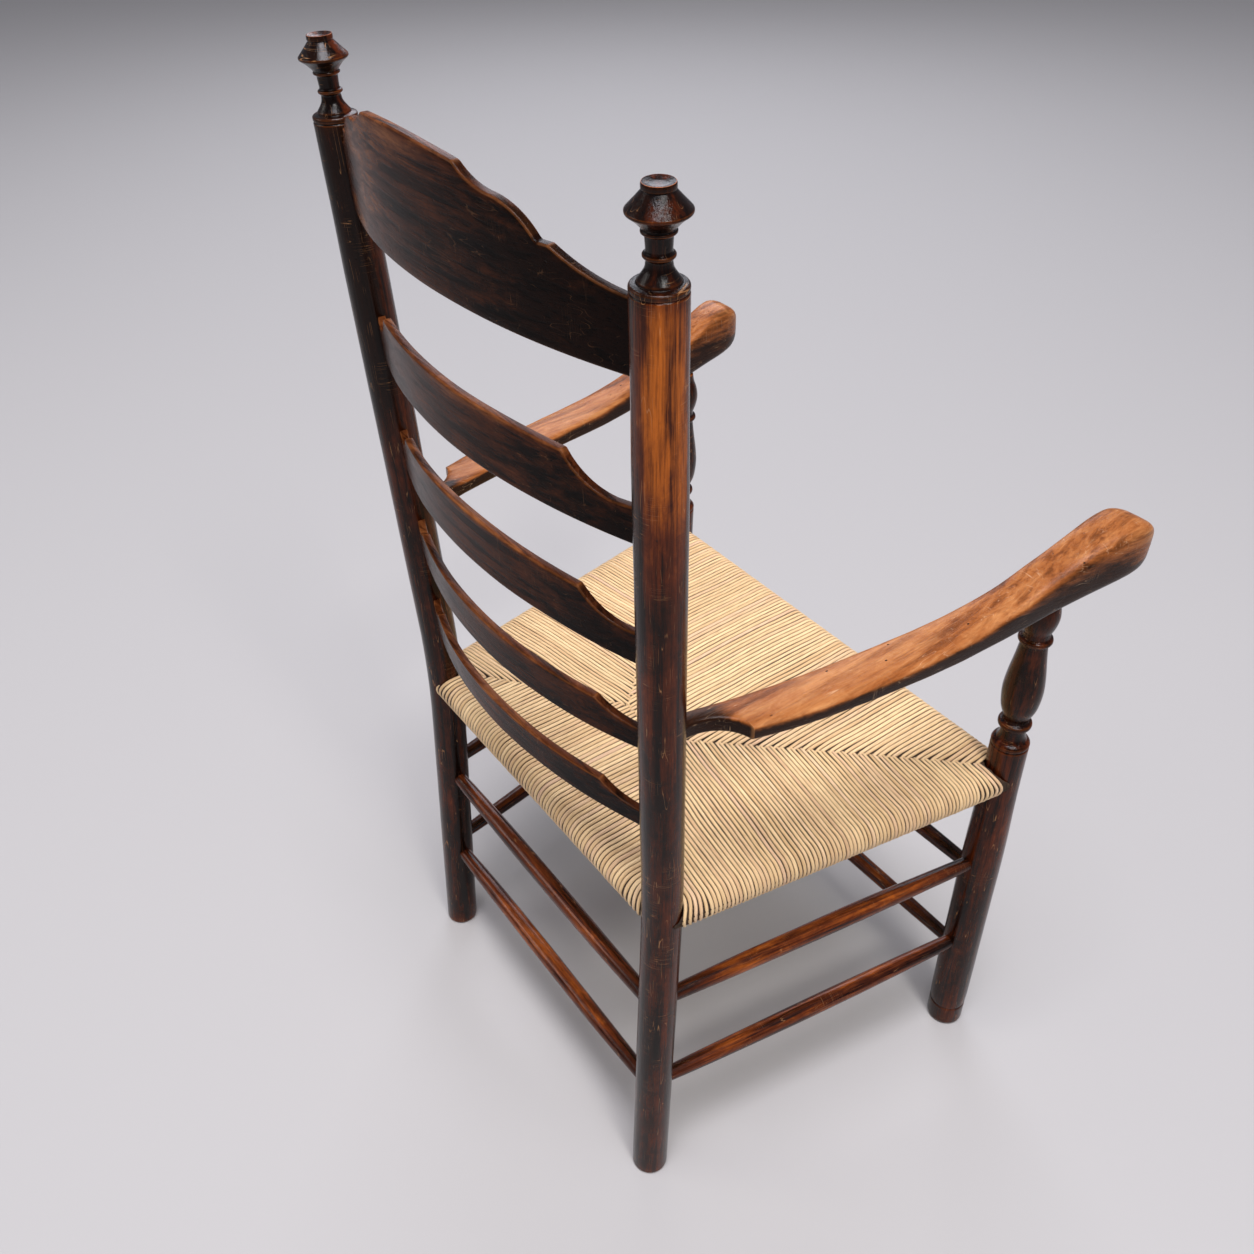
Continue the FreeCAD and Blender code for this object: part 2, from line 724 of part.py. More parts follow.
def main():
    parts = build()
    reach = parts["arm_left"].optimalBoundingBox()
    crest = parts["slat_crest"].optimalBoundingBox()
    to_origin = Vec(0, -(reach.YMin + crest.YMax) / 2.0, 0)
    os.makedirs("parts", exist_ok=True)
    for name in sorted(parts):
        shape = parts[name]
        shape.translate(to_origin)
        shape.exportStep("parts/" + name + ".step")
        box = shape.BoundBox
        print(name, len(shape.Solids), "solids, valid", shape.isValid(),
              "volume", round(shape.Volume), "x", round(box.XMin), round(box.XMax),
              "y", round(box.YMin), round(box.YMax), "z", round(box.ZMin, 1), round(box.ZMax, 1))


main()
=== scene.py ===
import math
import random

import bmesh
import bpy
from mathutils import Matrix, Vector, noise


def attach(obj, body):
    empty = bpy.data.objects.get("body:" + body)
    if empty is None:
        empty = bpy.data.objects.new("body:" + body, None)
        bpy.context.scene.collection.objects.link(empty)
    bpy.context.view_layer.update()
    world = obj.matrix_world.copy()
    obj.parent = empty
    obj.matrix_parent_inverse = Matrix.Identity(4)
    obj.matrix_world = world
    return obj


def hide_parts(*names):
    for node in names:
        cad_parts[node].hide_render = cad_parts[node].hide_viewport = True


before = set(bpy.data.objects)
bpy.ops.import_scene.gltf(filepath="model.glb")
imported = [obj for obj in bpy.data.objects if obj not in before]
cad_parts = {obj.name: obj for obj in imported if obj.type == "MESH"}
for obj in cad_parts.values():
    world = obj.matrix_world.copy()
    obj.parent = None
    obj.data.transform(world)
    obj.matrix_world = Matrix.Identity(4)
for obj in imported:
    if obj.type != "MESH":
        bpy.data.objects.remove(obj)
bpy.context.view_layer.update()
print("frame loaded")

rand = random.Random(11)

# where the posts stand, as in the frame
layout = {
    "backY": 0.2011,         # the rear posts' bend
    "rearFoot": 0.209, "rearSeat": 0.1985, "rearTop": 0.213,
    "frontFoot": 0.277, "frontArm": 0.2635,
    "depth": 0.384,
    "splay": 0.0215, "lean": 0.020,
    "bend": 0.430, "blend": 0.070, "shoulder": 1.007,
    "armHeight": 0.634,
}


def rearAxis(height, side=1):
    reach = height - layout["bend"]
    blend = layout["blend"]
    if abs(reach) < blend:
        share = (reach + blend) / (2 * blend)
        above = blend * share * share
        below = blend * (1 - share) ** 2
    else:
        above, below = max(reach, 0), max(-reach, 0)
    low = below / layout["bend"]
    high = above / (layout["shoulder"] - layout["bend"])
    x = (layout["rearSeat"] + low * (layout["rearFoot"] - layout["rearSeat"])
         + high * (layout["rearTop"] - layout["rearSeat"]))
    y = layout["backY"] + low * layout["splay"] + high * layout["lean"]
    return Vector((side * x, y, height))


def frontAxis(height, side=1):
    share = height / layout["armHeight"]
    x = layout["frontFoot"] + share * (layout["frontArm"] - layout["frontFoot"])
    return Vector((side * x, layout["backY"] - layout["depth"], height))


def ease(low, high, value):      # a soft step from 0 to 1
    share = min(max((value - low) / (high - low), 0), 1)
    return share * share * (3 - 2 * share)


def hump(value, middle, width):      # 1 at the middle, less to both sides
    return math.exp(-((value - middle) / width) ** 2)


def glide(rows, where):      # smooth values between the rows of a table
    last = len(rows) - 1
    spot = 0
    while spot < last - 1 and rows[spot + 1][0] <= where:
        spot += 1
    here, there = rows[spot], rows[spot + 1]
    before, after = rows[max(spot - 1, 0)], rows[min(spot + 2, last)]
    run = there[0] - here[0]
    share = min(max((where - here[0]) / run, 0), 1)
    out = []
    for a, b, c, d in zip(before[1:], here[1:], there[1:], after[1:]):
        slopeIn = (c - a) / (there[0] - before[0]) * run
        slopeOut = (d - b) / (after[0] - here[0]) * run
        s2, s3 = share * share, share ** 3
        out.append(b * (2 * s3 - 3 * s2 + 1) + slopeIn * (s3 - 2 * s2 + share)
                   + c * (3 * s2 - 2 * s3) + slopeOut * (s3 - s2))
    return out


# node and material helpers
def addNode(tree, kind, inputs=None, **settings):
    node = tree.nodes.new(kind)
    for name, value in settings.items():
        setattr(node, name, value)
    for name, value in (inputs or {}).items():
        if isinstance(value, bpy.types.NodeSocket):
            tree.links.new(value, node.inputs[name])
        else:
            node.inputs[name].default_value = value
    return node


def calc(tree, operation, a, b=0.0, clamp=False):
    return addNode(tree, "ShaderNodeMath", {0: a, 1: b}, operation=operation,
                   use_clamp=clamp).outputs[0]


def ramp(tree, value, low, high, toLow=0.0, toHigh=1.0):
    return addNode(tree, "ShaderNodeMapRange",
                   {"Value": value, "From Min": low, "From Max": high,
                    "To Min": toLow, "To Max": toHigh},
                   interpolation_type="SMOOTHSTEP").outputs["Result"]


def blendColor(tree, amount, first, second, kind="MIX"):
    node = addNode(tree, "ShaderNodeMix", {0: amount, 6: first, 7: second},
                   data_type="RGBA", blend_type=kind)
    return node.outputs[2]


def stretched(tree, vector, scale, offset=(0, 0, 0), turn=(0, 0, 0)):
    return addNode(tree, "ShaderNodeMapping",
                   {"Vector": vector, "Scale": scale, "Location": offset,
                    "Rotation": turn}).outputs["Vector"]


def cloud(tree, vector, scale=1.0, detail=4.0, rough=0.55, warp=0.0):
    return addNode(tree, "ShaderNodeTexNoise",
                   {"Vector": vector, "Scale": scale, "Detail": detail,
                    "Roughness": rough, "Distortion": warp}).outputs["Fac"]


def attribute(tree, name, way="Fac"):
    return addNode(tree, "ShaderNodeAttribute", attribute_name=name).outputs[way]


def weighted(tree, *terms, clamp=False):      # a sum of values times their weights
    total = None
    for number, (value, weight) in enumerate(terms, 1):
        part = value if weight == 1 else calc(tree, "MULTIPLY", value, weight)
        if total is None:
            total = part
        else:
            total = calc(tree, "ADD", total, part, clamp and number == len(terms))
    return total


def hairline(tree, value, width):      # thin lines where a cloud passes its middle value
    return ramp(tree, calc(tree, "ABSOLUTE", calc(tree, "SUBTRACT", value, 0.5)), width, 0.0)


def newMaterial(name):
    material = bpy.data.materials.new(name)
    material.use_nodes = True
    return material, material.node_tree, material.node_tree.nodes["Principled BSDF"]


def addBump(tree, shader, strength, distance, height):
    bump = addNode(tree, "ShaderNodeBump",
                   {"Strength": strength, "Distance": distance, "Height": height})
    tree.links.new(bump.outputs["Normal"], shader.inputs["Normal"])


# how fine the wood's patterns are, twice across the grain and once along it
grainSizes = {
    "streak": (120, 120, 5), "pore": (620, 620, 22), "patch": (22, 22, 9),
    "mottle": (110, 110, 45), "scratch": (14, 14, 420), "scratchPlace": (40, 40, 30),
    "slant": (260, 260, 16), "slantPlace": (75, 75, 42), "pit": (150, 150, 105),
}


# old polished wood: streaks along the grain, rubbed patches, worn edges, scratches and pits
def makeOldWood():
    tree = bpy.data.node_groups.new("oldWood", "ShaderNodeTree")
    for way, kind, names in (
            ("INPUT", "Color", ("Dark", "Warm", "Worn", "Scratch")),
            ("INPUT", "Float", ("Rubbed", "Edge", "Pits", "Scratches", "Figure", "Gloss")),
            ("OUTPUT", "Color", ("Color",)), ("OUTPUT", "Float", ("Roughness", "Height"))):
        for name in names:
            tree.interface.new_socket(name=name, in_out=way, socket_type="NodeSocket" + kind)
    given = tree.nodes.new("NodeGroupInput").outputs
    size = grainSizes
    grain = attribute(tree, "grain", "Vector")
    edge = calc(tree, "POWER", attribute(tree, "edge"), 3.0)
    rubAndShading = attribute(tree, "rubAndShading")
    streak = cloud(tree, stretched(tree, grain, size["streak"]), 1, 6, 0.6, 0.4)
    pore = cloud(tree, stretched(tree, grain, size["pore"]), 1, 5, 0.65)
    patch = cloud(tree, stretched(tree, grain, size["patch"]), 1, 5, 0.6, 0.6)
    mottle = cloud(tree, stretched(tree, grain, size["mottle"]), 1, 6, 0.7, 0.8)
    # how rubbed the surface is, with the painted light and shade that some pieces add to their
    # marks
    level = weighted(tree, (patch, 0.75), (mottle, 0.6), (streak, 0.7),
                     (given["Rubbed"], 0.5), (rubAndShading, 0.75))
    color = blendColor(tree, ramp(tree, level, 1.06, 1.62), given["Dark"], given["Warm"])
    color = blendColor(tree, ramp(tree, level, 1.45, 2.0), color, given["Worn"])
    # darker grain lines and pores
    dark = weighted(tree, (ramp(tree, streak, 0.52, 0.36), 0.7),
                    (ramp(tree, pore, 0.56, 0.34), 0.55), clamp=True)
    dark = calc(tree, "MULTIPLY", dark, given["Figure"], True)
    color = blendColor(tree, dark, color,
                       blendColor(tree, 1.0, color, (0.16, 0.12, 0.1, 1), "MULTIPLY"))
    # edges rubbed back to bare wood, unevenly
    wear = calc(tree, "MULTIPLY", edge, ramp(tree, mottle, 0.32, 0.6, 0.35, 1.0))
    wear = calc(tree, "MULTIPLY", wear, given["Edge"], True)
    color = blendColor(tree, wear, color, given["Worn"])
    # long fine scratches, mostly across the grain
    thin = cloud(tree, stretched(tree, grain, size["scratch"], (3, 1, 7)), 1, 0.5, 0.5, 0.3)
    gate = cloud(tree, stretched(tree, grain, size["scratchPlace"], (9, 2, 5)), 1, 2)
    scratch = calc(tree, "MULTIPLY", hairline(tree, thin, 0.012), ramp(tree, gate, 0.56, 0.66))
    # short pale ones aslant
    slant = stretched(tree, grain, size["slant"], turn=(0.35, 0.3, 0.2))
    slant = hairline(tree, cloud(tree, slant, 1, 0, 0.5, 0.15), 0.016)
    few = cloud(tree, stretched(tree, grain, size["slantPlace"], (2, 8, 4)), 1, 2)
    slant = calc(tree, "MULTIPLY", slant, ramp(tree, few, 0.52, 0.62))
    scratch = calc(tree, "MAXIMUM", scratch, slant)
    scratch = calc(tree, "MULTIPLY", scratch, given["Scratches"], True)
    color = blendColor(tree, scratch, color, given["Scratch"])
    # small dark pits and worm holes
    cells = addNode(tree, "ShaderNodeTexVoronoi",
                    {"Vector": stretched(tree, grain, size["pit"]), "Scale": 1.0},
                    feature="F1")
    pick = addNode(tree, "ShaderNodeSeparateColor", {0: cells.outputs["Color"]}).outputs[0]
    pit = calc(tree, "MULTIPLY", ramp(tree, cells.outputs["Distance"], 0.15, 0.09),
               ramp(tree, pick, 0.86, 0.9))
    pit = calc(tree, "MULTIPLY", pit, given["Pits"], True)
    color = blendColor(tree, pit, color, (0.006, 0.003, 0.002, 1))
    gloss = weighted(tree, (given["Gloss"], 1), (mottle, 0.12), (dark, 0.08), (wear, 0.12),
                     clamp=True)
    height = weighted(tree, (dark, -0.5), (pit, -3.0), (scratch, -0.6), (mottle, 0.6))
    addNode(tree, "NodeGroupOutput", {"Color": color, "Roughness": gloss, "Height": height})
    return tree


oldWood = makeOldWood()


def woodMaterial(name, look):
    material, tree, shader = newMaterial(name)
    group = tree.nodes.new("ShaderNodeGroup")
    group.node_tree = oldWood
    for given in group.inputs:
        given.default_value = look[given.name]
    tree.links.new(group.outputs["Color"], shader.inputs["Base Color"])
    tree.links.new(group.outputs["Roughness"], shader.inputs["Roughness"])
    addBump(tree, shader, look["bump"], 0.0006, group.outputs["Height"])
    shader.inputs["Specular IOR Level"].default_value = look["shine"]
    return material


# the stained wood of posts and slats, the redder rungs and the golden arms
postLook = {"Dark": (0.0085, 0.0026, 0.0013, 1), "Warm": (0.12, 0.021, 0.0036, 1),
            "Worn": (0.52, 0.13, 0.012, 1), "Scratch": (0.62, 0.30, 0.12, 1), "Rubbed": 0.38,
            "Edge": 0.8, "Pits": 0.5, "Scratches": 0.45, "Figure": 1.0, "Gloss": 0.09,
            "bump": 0.3, "shine": 0.19}
slatLook = dict(postLook, Rubbed=0.66, Warm=(0.085, 0.021, 0.006, 1), Edge=0.4,
                Worn=(0.34, 0.12, 0.035, 1), Scratch=(0.42, 0.20, 0.09, 1), Scratches=0.15,
                Gloss=0.12, shine=0.06)
rungLook = dict(postLook, Rubbed=0.6, Warm=(0.12, 0.025, 0.006, 1), Edge=0.2, Gloss=0.07,
                Scratches=0.25, shine=0.28)
armLook = {"Dark": (0.022, 0.007, 0.0025, 1), "Warm": (0.30, 0.09, 0.022, 1),
           "Worn": (0.54, 0.24, 0.085, 1), "Scratch": (0.75, 0.48, 0.28, 1), "Rubbed": 0.2,
           "Edge": 0.6, "Pits": 1.0, "Scratches": 0.35, "Figure": 0.5, "Gloss": 0.2,
           "bump": 0.5, "shine": 0.12}
postWood = woodMaterial("postWood", postLook)
slatWood = woodMaterial("slatWood", slatLook)
rungWood = woodMaterial("rungWood", rungLook)
armWood = woodMaterial("armWood", armLook)
print("wood finishes made")


# shaping helpers
def keepGrain(bm, shift, turn=None):      # each point's place in its wood, z along the grain
    layer = bm.verts.layers.float_vector.new("grain")
    for v in bm.verts:
        spot = v.co if turn is None else turn @ v.co
        v[layer] = spot + shift


def markEdges(bm, reach):     # how much each point stands out from its neighbours
    layer = bm.verts.layers.float.new("edge")
    bm.normal_update()
    raw = {}
    for v in bm.verts:
        total = 0.0
        for e in v.link_edges:
            way = v.co - e.other_vert(v).co
            if way.length > 1e-7:
                total += v.normal.dot(way.normalized())
        raw[v] = max(total / max(len(v.link_edges), 1), 0) / reach
    for v in bm.verts:
        near = [raw[e.other_vert(v)] for e in v.link_edges]
        v[layer] = min(max(raw[v], 0.35 * max(near + [0])), 1.0)


def setMark(bm, name, rule):
    layer = bm.verts.layers.float.new(name)
    for v in bm.verts:
        v[layer] = rule(v)


def addObject(name, data):
    made = bpy.data.objects.new(name, data)
    bpy.context.scene.collection.objects.link(made)
    return made


def finishPiece(bm, name, material, node, sharp=0.9):
    bm.normal_update()
    for face in bm.faces:
        face.smooth = True
    for e in bm.edges:
        e.smooth = not (len(e.link_faces) == 2 and e.calc_face_angle(0) > sharp)
    mesh = bpy.data.meshes.new(name)
    bm.to_mesh(mesh)
    bm.free()
    mesh.materials.append(material)
    piece = addObject(name, mesh)
    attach(piece, "root")
    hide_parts(node)
    return piece


# a profile with its corners rounded, from rows of radius, height and rounding
def eased(points, step=0.010):
    out = []
    last = len(points) - 1
    for i, (r, z, soft) in enumerate(points):
        spot = Vector((r, z))
        if i in (0, last) or soft <= 0:
            fresh = [spot]
        else:
            back = Vector(points[i - 1][:2]) - spot
            ahead = Vector(points[i + 1][:2]) - spot
            soft = min(soft, back.length * 0.48, ahead.length * 0.48)
            a = spot + back.normalized() * soft
            b = spot + ahead.normalized() * soft
            fresh = []
            for k in range(6):
                s = k / 5
                fresh.append(a * (1 - s) ** 2 + spot * 2 * s * (1 - s) + b * s * s)
        if out:
            gap = fresh[0] - out[-1]
            parts = int(gap.length / step)
            for k in range(parts):
                out.append(out[-1] + gap / (parts + 1))
        out += fresh
    return [(max(p.x, 0), p.y) for p in out]


def turnedForm(profile, steps):
    bm = bmesh.new()
    verts = [bm.verts.new((r, 0, z)) for r, z in profile]
    edges = [bm.edges.new(pair) for pair in zip(verts[:-1], verts[1:])]
    bmesh.ops.spin(bm, geom=verts + edges, cent=(0, 0, 0), axis=(0, 0, 1), dvec=(0, 0, 0),
                   angle=2 * math.pi, steps=steps, use_merge=True, use_duplicate=False)
    bmesh.ops.remove_doubles(bm, verts=bm.verts[:], dist=1e-6)
    bmesh.ops.recalc_face_normals(bm, faces=bm.faces[:])
    return bm


def handTurned(bm, seed, amount):      # slight unevenness of hand work and wear
    for v in bm.verts:
        r = math.hypot(v.co.x, v.co.y)
        if r < 1e-5:
            continue
        spot = Vector((v.co.x * 28 + seed, v.co.y * 28, v.co.z * 11))
        grow = 1 + amount * noise.noise(spot) + amount * 0.4 * noise.noise(spot * 3.1)
        v.co.x *= grow
        v.co.y *= grow


def bentAlong(bm, axisAt, side):      # along a post's axis, level at the floor
    for v in bm.verts:
        height = v.co.z
        spot = axisAt(height, side)
        way = (axisAt(height + 0.004, side) - axisAt(height - 0.004, side)).normalized()
        way = Vector((0, 0, 1)).lerp(way, ease(0.0, 0.06, height))
        turn = Vector((0, 0, 1)).rotation_difference(way)
        v.co = spot + turn @ Vector((v.co.x, v.co.y, 0))


# rear posts
rearPost = {
    "low": 0.0190, "top": 0.0182, "thin": (0.886, 0.948), "foot": (0.0022, 0.0024),
    "shoulder": 1.0145, "groove": 0.0012, "uneven": 0.012, "around": 72,
    "shadow": (0.59, 0.81),      # the side darkest with painted shade: how far inwards and backwards
    # finial: radius, height over the groove, rounding
    "finial": [
        (0.0171, 0.0, 0.0005), (0.0182, 0.0007, 0.0005), (0.0182, 0.0032, 0.0010),
        (0.0174, 0.0042, 0.0008), (0.0150, 0.0048, 0.0006), (0.0136, 0.0051, 0.0004),
        (0.0133, 0.0066, 0.0010), (0.0106, 0.0100, 0.0026), (0.0084, 0.0136, 0.0024),
        (0.0079, 0.0182, 0.0010), (0.0083, 0.0192, 0.0003), (0.0099, 0.0202, 0.0008),
        (0.0099, 0.0219, 0.0008), (0.0083, 0.0229, 0.0003), (0.0079, 0.0240, 0.0008),
        (0.0084, 0.0326, 0.0010), (0.0090, 0.0334, 0.0003), (0.0107, 0.0341, 0.0006),
        (0.0107, 0.0355, 0.0006), (0.0100, 0.0362, 0.0003), (0.0112, 0.0380, 0.0010),
        (0.0150, 0.0420, 0.0020), (0.0190, 0.0450, 0.0006), (0.0196, 0.0456, 0.0004),
        (0.0196, 0.0469, 0.0005), (0.0188, 0.0478, 0.0006), (0.0130, 0.0540, 0.0030),
        (0.0096, 0.0579, 0.0006), (0.0102, 0.0586, 0.0004), (0.0102, 0.0609, 0.0006),
        (0.0098, 0.0622, 0.0004), (0.0091, 0.0619, 0.0004), (0.0050, 0.0605, 0.0010),
        (0.0, 0.0601, 0),
    ],
}


def makeRearPost(name, side):
    spec = rearPost
    low, top = spec["low"], spec["top"]
    footIn, footUp = spec["foot"]
    rows = [(0, 0, 0), (low - footIn, 0, 0.0012), (low, footUp, 0.0016), (low, 0.2, 0),
            (low, spec["thin"][0], 0.01), (top, spec["thin"][1], 0.01),
            (top, spec["shoulder"] - spec["groove"], 0.0006)]
    rows += [(r, spec["shoulder"] + z, soft) for r, z, soft in spec["finial"]]
    bm = turnedForm(eased(rows), spec["around"])
    keepGrain(bm, Vector((0.4 * side, 0.2, 0.1)))
    handTurned(bm, 3 + side, spec["uneven"])
    # rubbed high up, most on the right post, with painted shade darkening the flanks; a worn
    # stripe low down
    def wearAndShading(v):
        z = v.co.z
        inward, backward = spec["shadow"]
        away = inward * -side * v.co.x + backward * v.co.y
        away /= max(math.hypot(v.co.x, v.co.y), 0.001)
        rubAndShading = 0.80 * ease(0.76, 0.93, z) * ease(1.0175, 1.010, z) * (0.6 - 0.4 * side)
        # painted shade on both flanks of the post, strongest on the shadow side
        rubAndShading -= (0.6 * ease(0.3, 0.9, away) + 0.3 * ease(-0.6, -0.95, away)) * ease(0.7, 0.9, z)
        rubAndShading += 0.15 * ease(0.55, 0.7, z) * ease(0.8, 0.72, z)
        rubAndShading += 0.30 * ease(0.42, 0.2, z) * hump(away, -0.35, 0.3)
        return rubAndShading + 0.1 * ease(1.016, 1.022, z) + 0.25 * ease(0.012, 0.0, z)
    setMark(bm, "rubAndShading", wearAndShading)
    markEdges(bm, 0.11)
    bentAlong(bm, rearAxis, side)
    return finishPiece(bm, "rearPost" + name, postWood,
                       "rear_post_" + name.lower())


for name, side in (("Right", -1), ("Left", 1)):
    makeRearPost(name, side)
print("rear posts turned")


# front posts
frontPost = {
    "leg": 0.0212, "uneven": 0.01, "around": 72,
    # radius, height, rounding
    "rows": [
        (0, 0, 0), (0.0180, 0, 0.001), (0.0206, 0.0030, 0.002), (0.0208, 0.0290, 0.0010),
        (0.0198, 0.0310, 0.0008), (0.0208, 0.0330, 0.0010), (0.0212, 0.0460, 0.006),
        (0.0212, 0.3040, 0.03), (0.0190, 0.3920, 0.03), (0.0190, 0.4556, 0.0010),
        (0.0178, 0.4570, 0.0006), (0.0190, 0.4584, 0.0010), (0.0190, 0.4612, 0.0014),
        (0.0172, 0.4636, 0.0010), (0.0150, 0.4650, 0.0014), (0.0130, 0.4690, 0.0024),
        (0.0124, 0.4740, 0.0030), (0.0126, 0.4800, 0.0012), (0.0160, 0.4822, 0.0014),
        (0.0166, 0.4850, 0.0016), (0.0160, 0.4878, 0.0014), (0.0122, 0.4896, 0.0010),
        (0.0124, 0.4930, 0.0030), (0.0176, 0.5060, 0.008), (0.0198, 0.5260, 0.012),
        (0.0182, 0.5450, 0.012), (0.0146, 0.5690, 0.012), (0.0128, 0.5850, 0.0020),
        (0.0132, 0.5868, 0.0006), (0.0160, 0.5886, 0.0014), (0.0162, 0.5905, 0.0014),
        (0.0156, 0.5926, 0.0012), (0.0128, 0.5942, 0.0008), (0.0126, 0.5980, 0.0020),
        (0.0160, 0.6080, 0.005), (0.0176, 0.6180, 0.007), (0.0160, 0.6290, 0.006),
        (0.0122, 0.6390, 0.004), (0.0110, 0.6480, 0.002), (0, 0.6500, 0),
    ],
}


def makeFrontPost(name, side):
    bm = turnedForm(eased(frontPost["rows"]), frontPost["around"])
    keepGrain(bm, Vector((0.7 * side, 0.9, 0.4)))
    handTurned(bm, 8 + side, frontPost["uneven"])
    # a little rubbed at the seat's height
    setMark(bm, "rubAndShading", lambda v: 0.16 * ease(0.3, 0.4, v.co.z) * ease(0.5, 0.44, v.co.z))
    markEdges(bm, 0.12)
    bentAlong(bm, frontAxis, side)
    return finishPiece(bm, "frontPost" + name, postWood,
                       "front_post_" + name.lower())


for name, side in (("Right", -1), ("Left", 1)):
    makeFrontPost(name, side)
print("front posts turned")


# rungs
rung = {
    "middle": 0.0100, "end": 0.0074, "fullness": 2.2, "steps": 46, "around": 40,
    "tenon": 0.010, "uneven": 0.03, "sag": 0.0006,
    # heights of the upper and the lower one
    "side": (0.284, 0.149), "rear": (0.270, 0.136), "front": (0.260, 0.125),
}


def makeRung(place, level, start, end, startRadius, endRadius, seed):
    way = end - start
    first = startRadius - rung["tenon"]
    last = way.length - endRadius + rung["tenon"]
    length = last - first
    rows = [(0, first)]
    for k in range(rung["steps"] + 1):
        share = k / rung["steps"]
        swell = 1 - abs(2 * share - 1) ** rung["fullness"]
        rows.append((rung["end"] + (rung["middle"] - rung["end"]) * swell,
                     first + share * length))
    rows.append((0, last))
    bm = turnedForm(rows, rung["around"])
    keepGrain(bm, Vector((seed * 1.3, seed * 0.7, 0)))
    handTurned(bm, seed * 5, rung["uneven"])
    setMark(bm, "rubAndShading", lambda v: 0.30 * ease(0, 0.22, (v.co.z - first) / length)
            * ease(1, 0.78, (v.co.z - first) / length) - 0.05)
    setMark(bm, "edge", lambda v: 0.0)
    for v in bm.verts:     # a little out of true
        share = (v.co.z - first) / length
        v.co.x += rung["sag"] * math.sin(math.pi * share) * math.sin(seed * 2.1)
        v.co.y += rung["sag"] * math.sin(2 * math.pi * share) * math.cos(seed * 1.7)
    turn = Vector((0, 0, 1)).rotation_difference(way)
    bmesh.ops.transform(bm, matrix=Matrix.Translation(start) @ turn.to_matrix().to_4x4(),
                        verts=bm.verts[:])
    return finishPiece(bm, "rung" + place + level, rungWood,
                       "rung_" + place.lower() + "_" + level.lower())


seed = 1
rear, leg = rearPost["low"], frontPost["leg"]
for index, level in enumerate(("Upper", "Lower")):
    beside, behind, before = (rung[key][index] for key in ("side", "rear", "front"))
    for place, start, end, startRadius, endRadius in (
            ("Right", rearAxis(beside, -1), frontAxis(beside, -1), rear, leg),
            ("Left", rearAxis(beside, 1), frontAxis(beside, 1), rear, leg),
            ("Rear", rearAxis(behind, -1), rearAxis(behind, 1), rear, rear),
            ("Front", frontAxis(before, -1), frontAxis(before, 1), leg, leg)):
        makeRung(place, level, start, end, startRadius, endRadius, seed)
        seed += 1
print("rungs turned")


# slats
slat = {
    "thickness": 0.0075, "bow": 0.044, "forward": 0.004, "gap": 0.0045, "hollow": 0.042,
    "belly": (0.36, 0.62),       # how far along and down the hollow its middle point lies
    "round": 0.0017, "roundSteps": 4, "across": 230, "up": 16, "inside": 0.9985,
    "warp": 0.0005,
    # low edge at the end and middle, top edge at the end, corner and middle,
    # half the corners' spacing
    "Second": (0.8220, 0.8290, 0.8540, 0.8800, 0.8835, 0.131),
    "Third": (0.7080, 0.7200, 0.7410, 0.7640, 0.7705, 0.135),
    "Fourth": (0.6170, 0.6195, 0.6400, 0.6540, 0.6570, 0.142),
    "Fifth": (0.5190, 0.5280, 0.5400, 0.5560, 0.5605, 0.140),
}
crest = {
    "lowEnd": 0.9510, "lowMid": 0.9575, "end": 1.0030, "notch": 1.0240, "waist": 1.0446,
    "peak": 1.0570, "mid": 1.0610, "notchOut": 0.1465, "notchIn": 0.1365,
    "waistHalf": 0.098, "peakHalf": 0.066,
    # how far along and up or down each curve its middle point lies
    "belly": (0.45, 0.72), "sweep": (0.5, 0.28),
    "hollows": ((0.36, 0.56), (0.28, 0.62)),      # at the sitter's right and left
    "shift": 0.011,              # the outline sits a little to the sitter's left
}


def arcThrough(a, b, c):       # height along an arc through three points
    d = 2 * (a[0] * (b[1] - c[1]) + b[0] * (c[1] - a[1]) + c[0] * (a[1] - b[1]))
    if abs(d) < 1e-12:
        return lambda x: a[1] + (x - a[0]) * (c[1] - a[1]) / (c[0] - a[0])
    sa, sb, sc = (p[0] ** 2 + p[1] ** 2 for p in (a, b, c))
    cx = (sa * (b[1] - c[1]) + sb * (c[1] - a[1]) + sc * (a[1] - b[1])) / d
    cz = (sa * (c[0] - b[0]) + sb * (a[0] - c[0]) + sc * (b[0] - a[0])) / d
    r = math.hypot(a[0] - cx, a[1] - cz)
    sign = 1 if b[1] > cz else -1
    return lambda x: cz + sign * math.sqrt(max(r * r - (x - cx) ** 2, 0))


def pieced(runs):              # a height rule from runs of start, end and rule
    def rule(x):
        x = abs(x)
        for low, high, form in runs:
            if low <= x <= high:
                return form(x)
        return runs[-1][2](runs[-1][1])
    return rule


def between(a, b, shares):      # a point part of the way from a to b, across and up
    return tuple(p + share * (q - p) for p, q, share in zip(a, b, shares))


def slatRules(half, spec):
    lowEnd, lowMid, end, corner, mid, cornerHalf = spec
    hollowHalf = min(cornerHalf + slat["hollow"], half - 0.001)
    top, foot = (cornerHalf, corner), (hollowHalf, end)
    low = arcThrough((-half, lowEnd), (0, lowMid), (half, lowEnd))
    high = pieced([
        (0, cornerHalf, arcThrough((-cornerHalf, corner), (0, mid), top)),
        (cornerHalf, hollowHalf, arcThrough(top, between(top, foot, slat["belly"]), foot)),
        (hollowHalf, half, lambda x: end)])
    return low, high


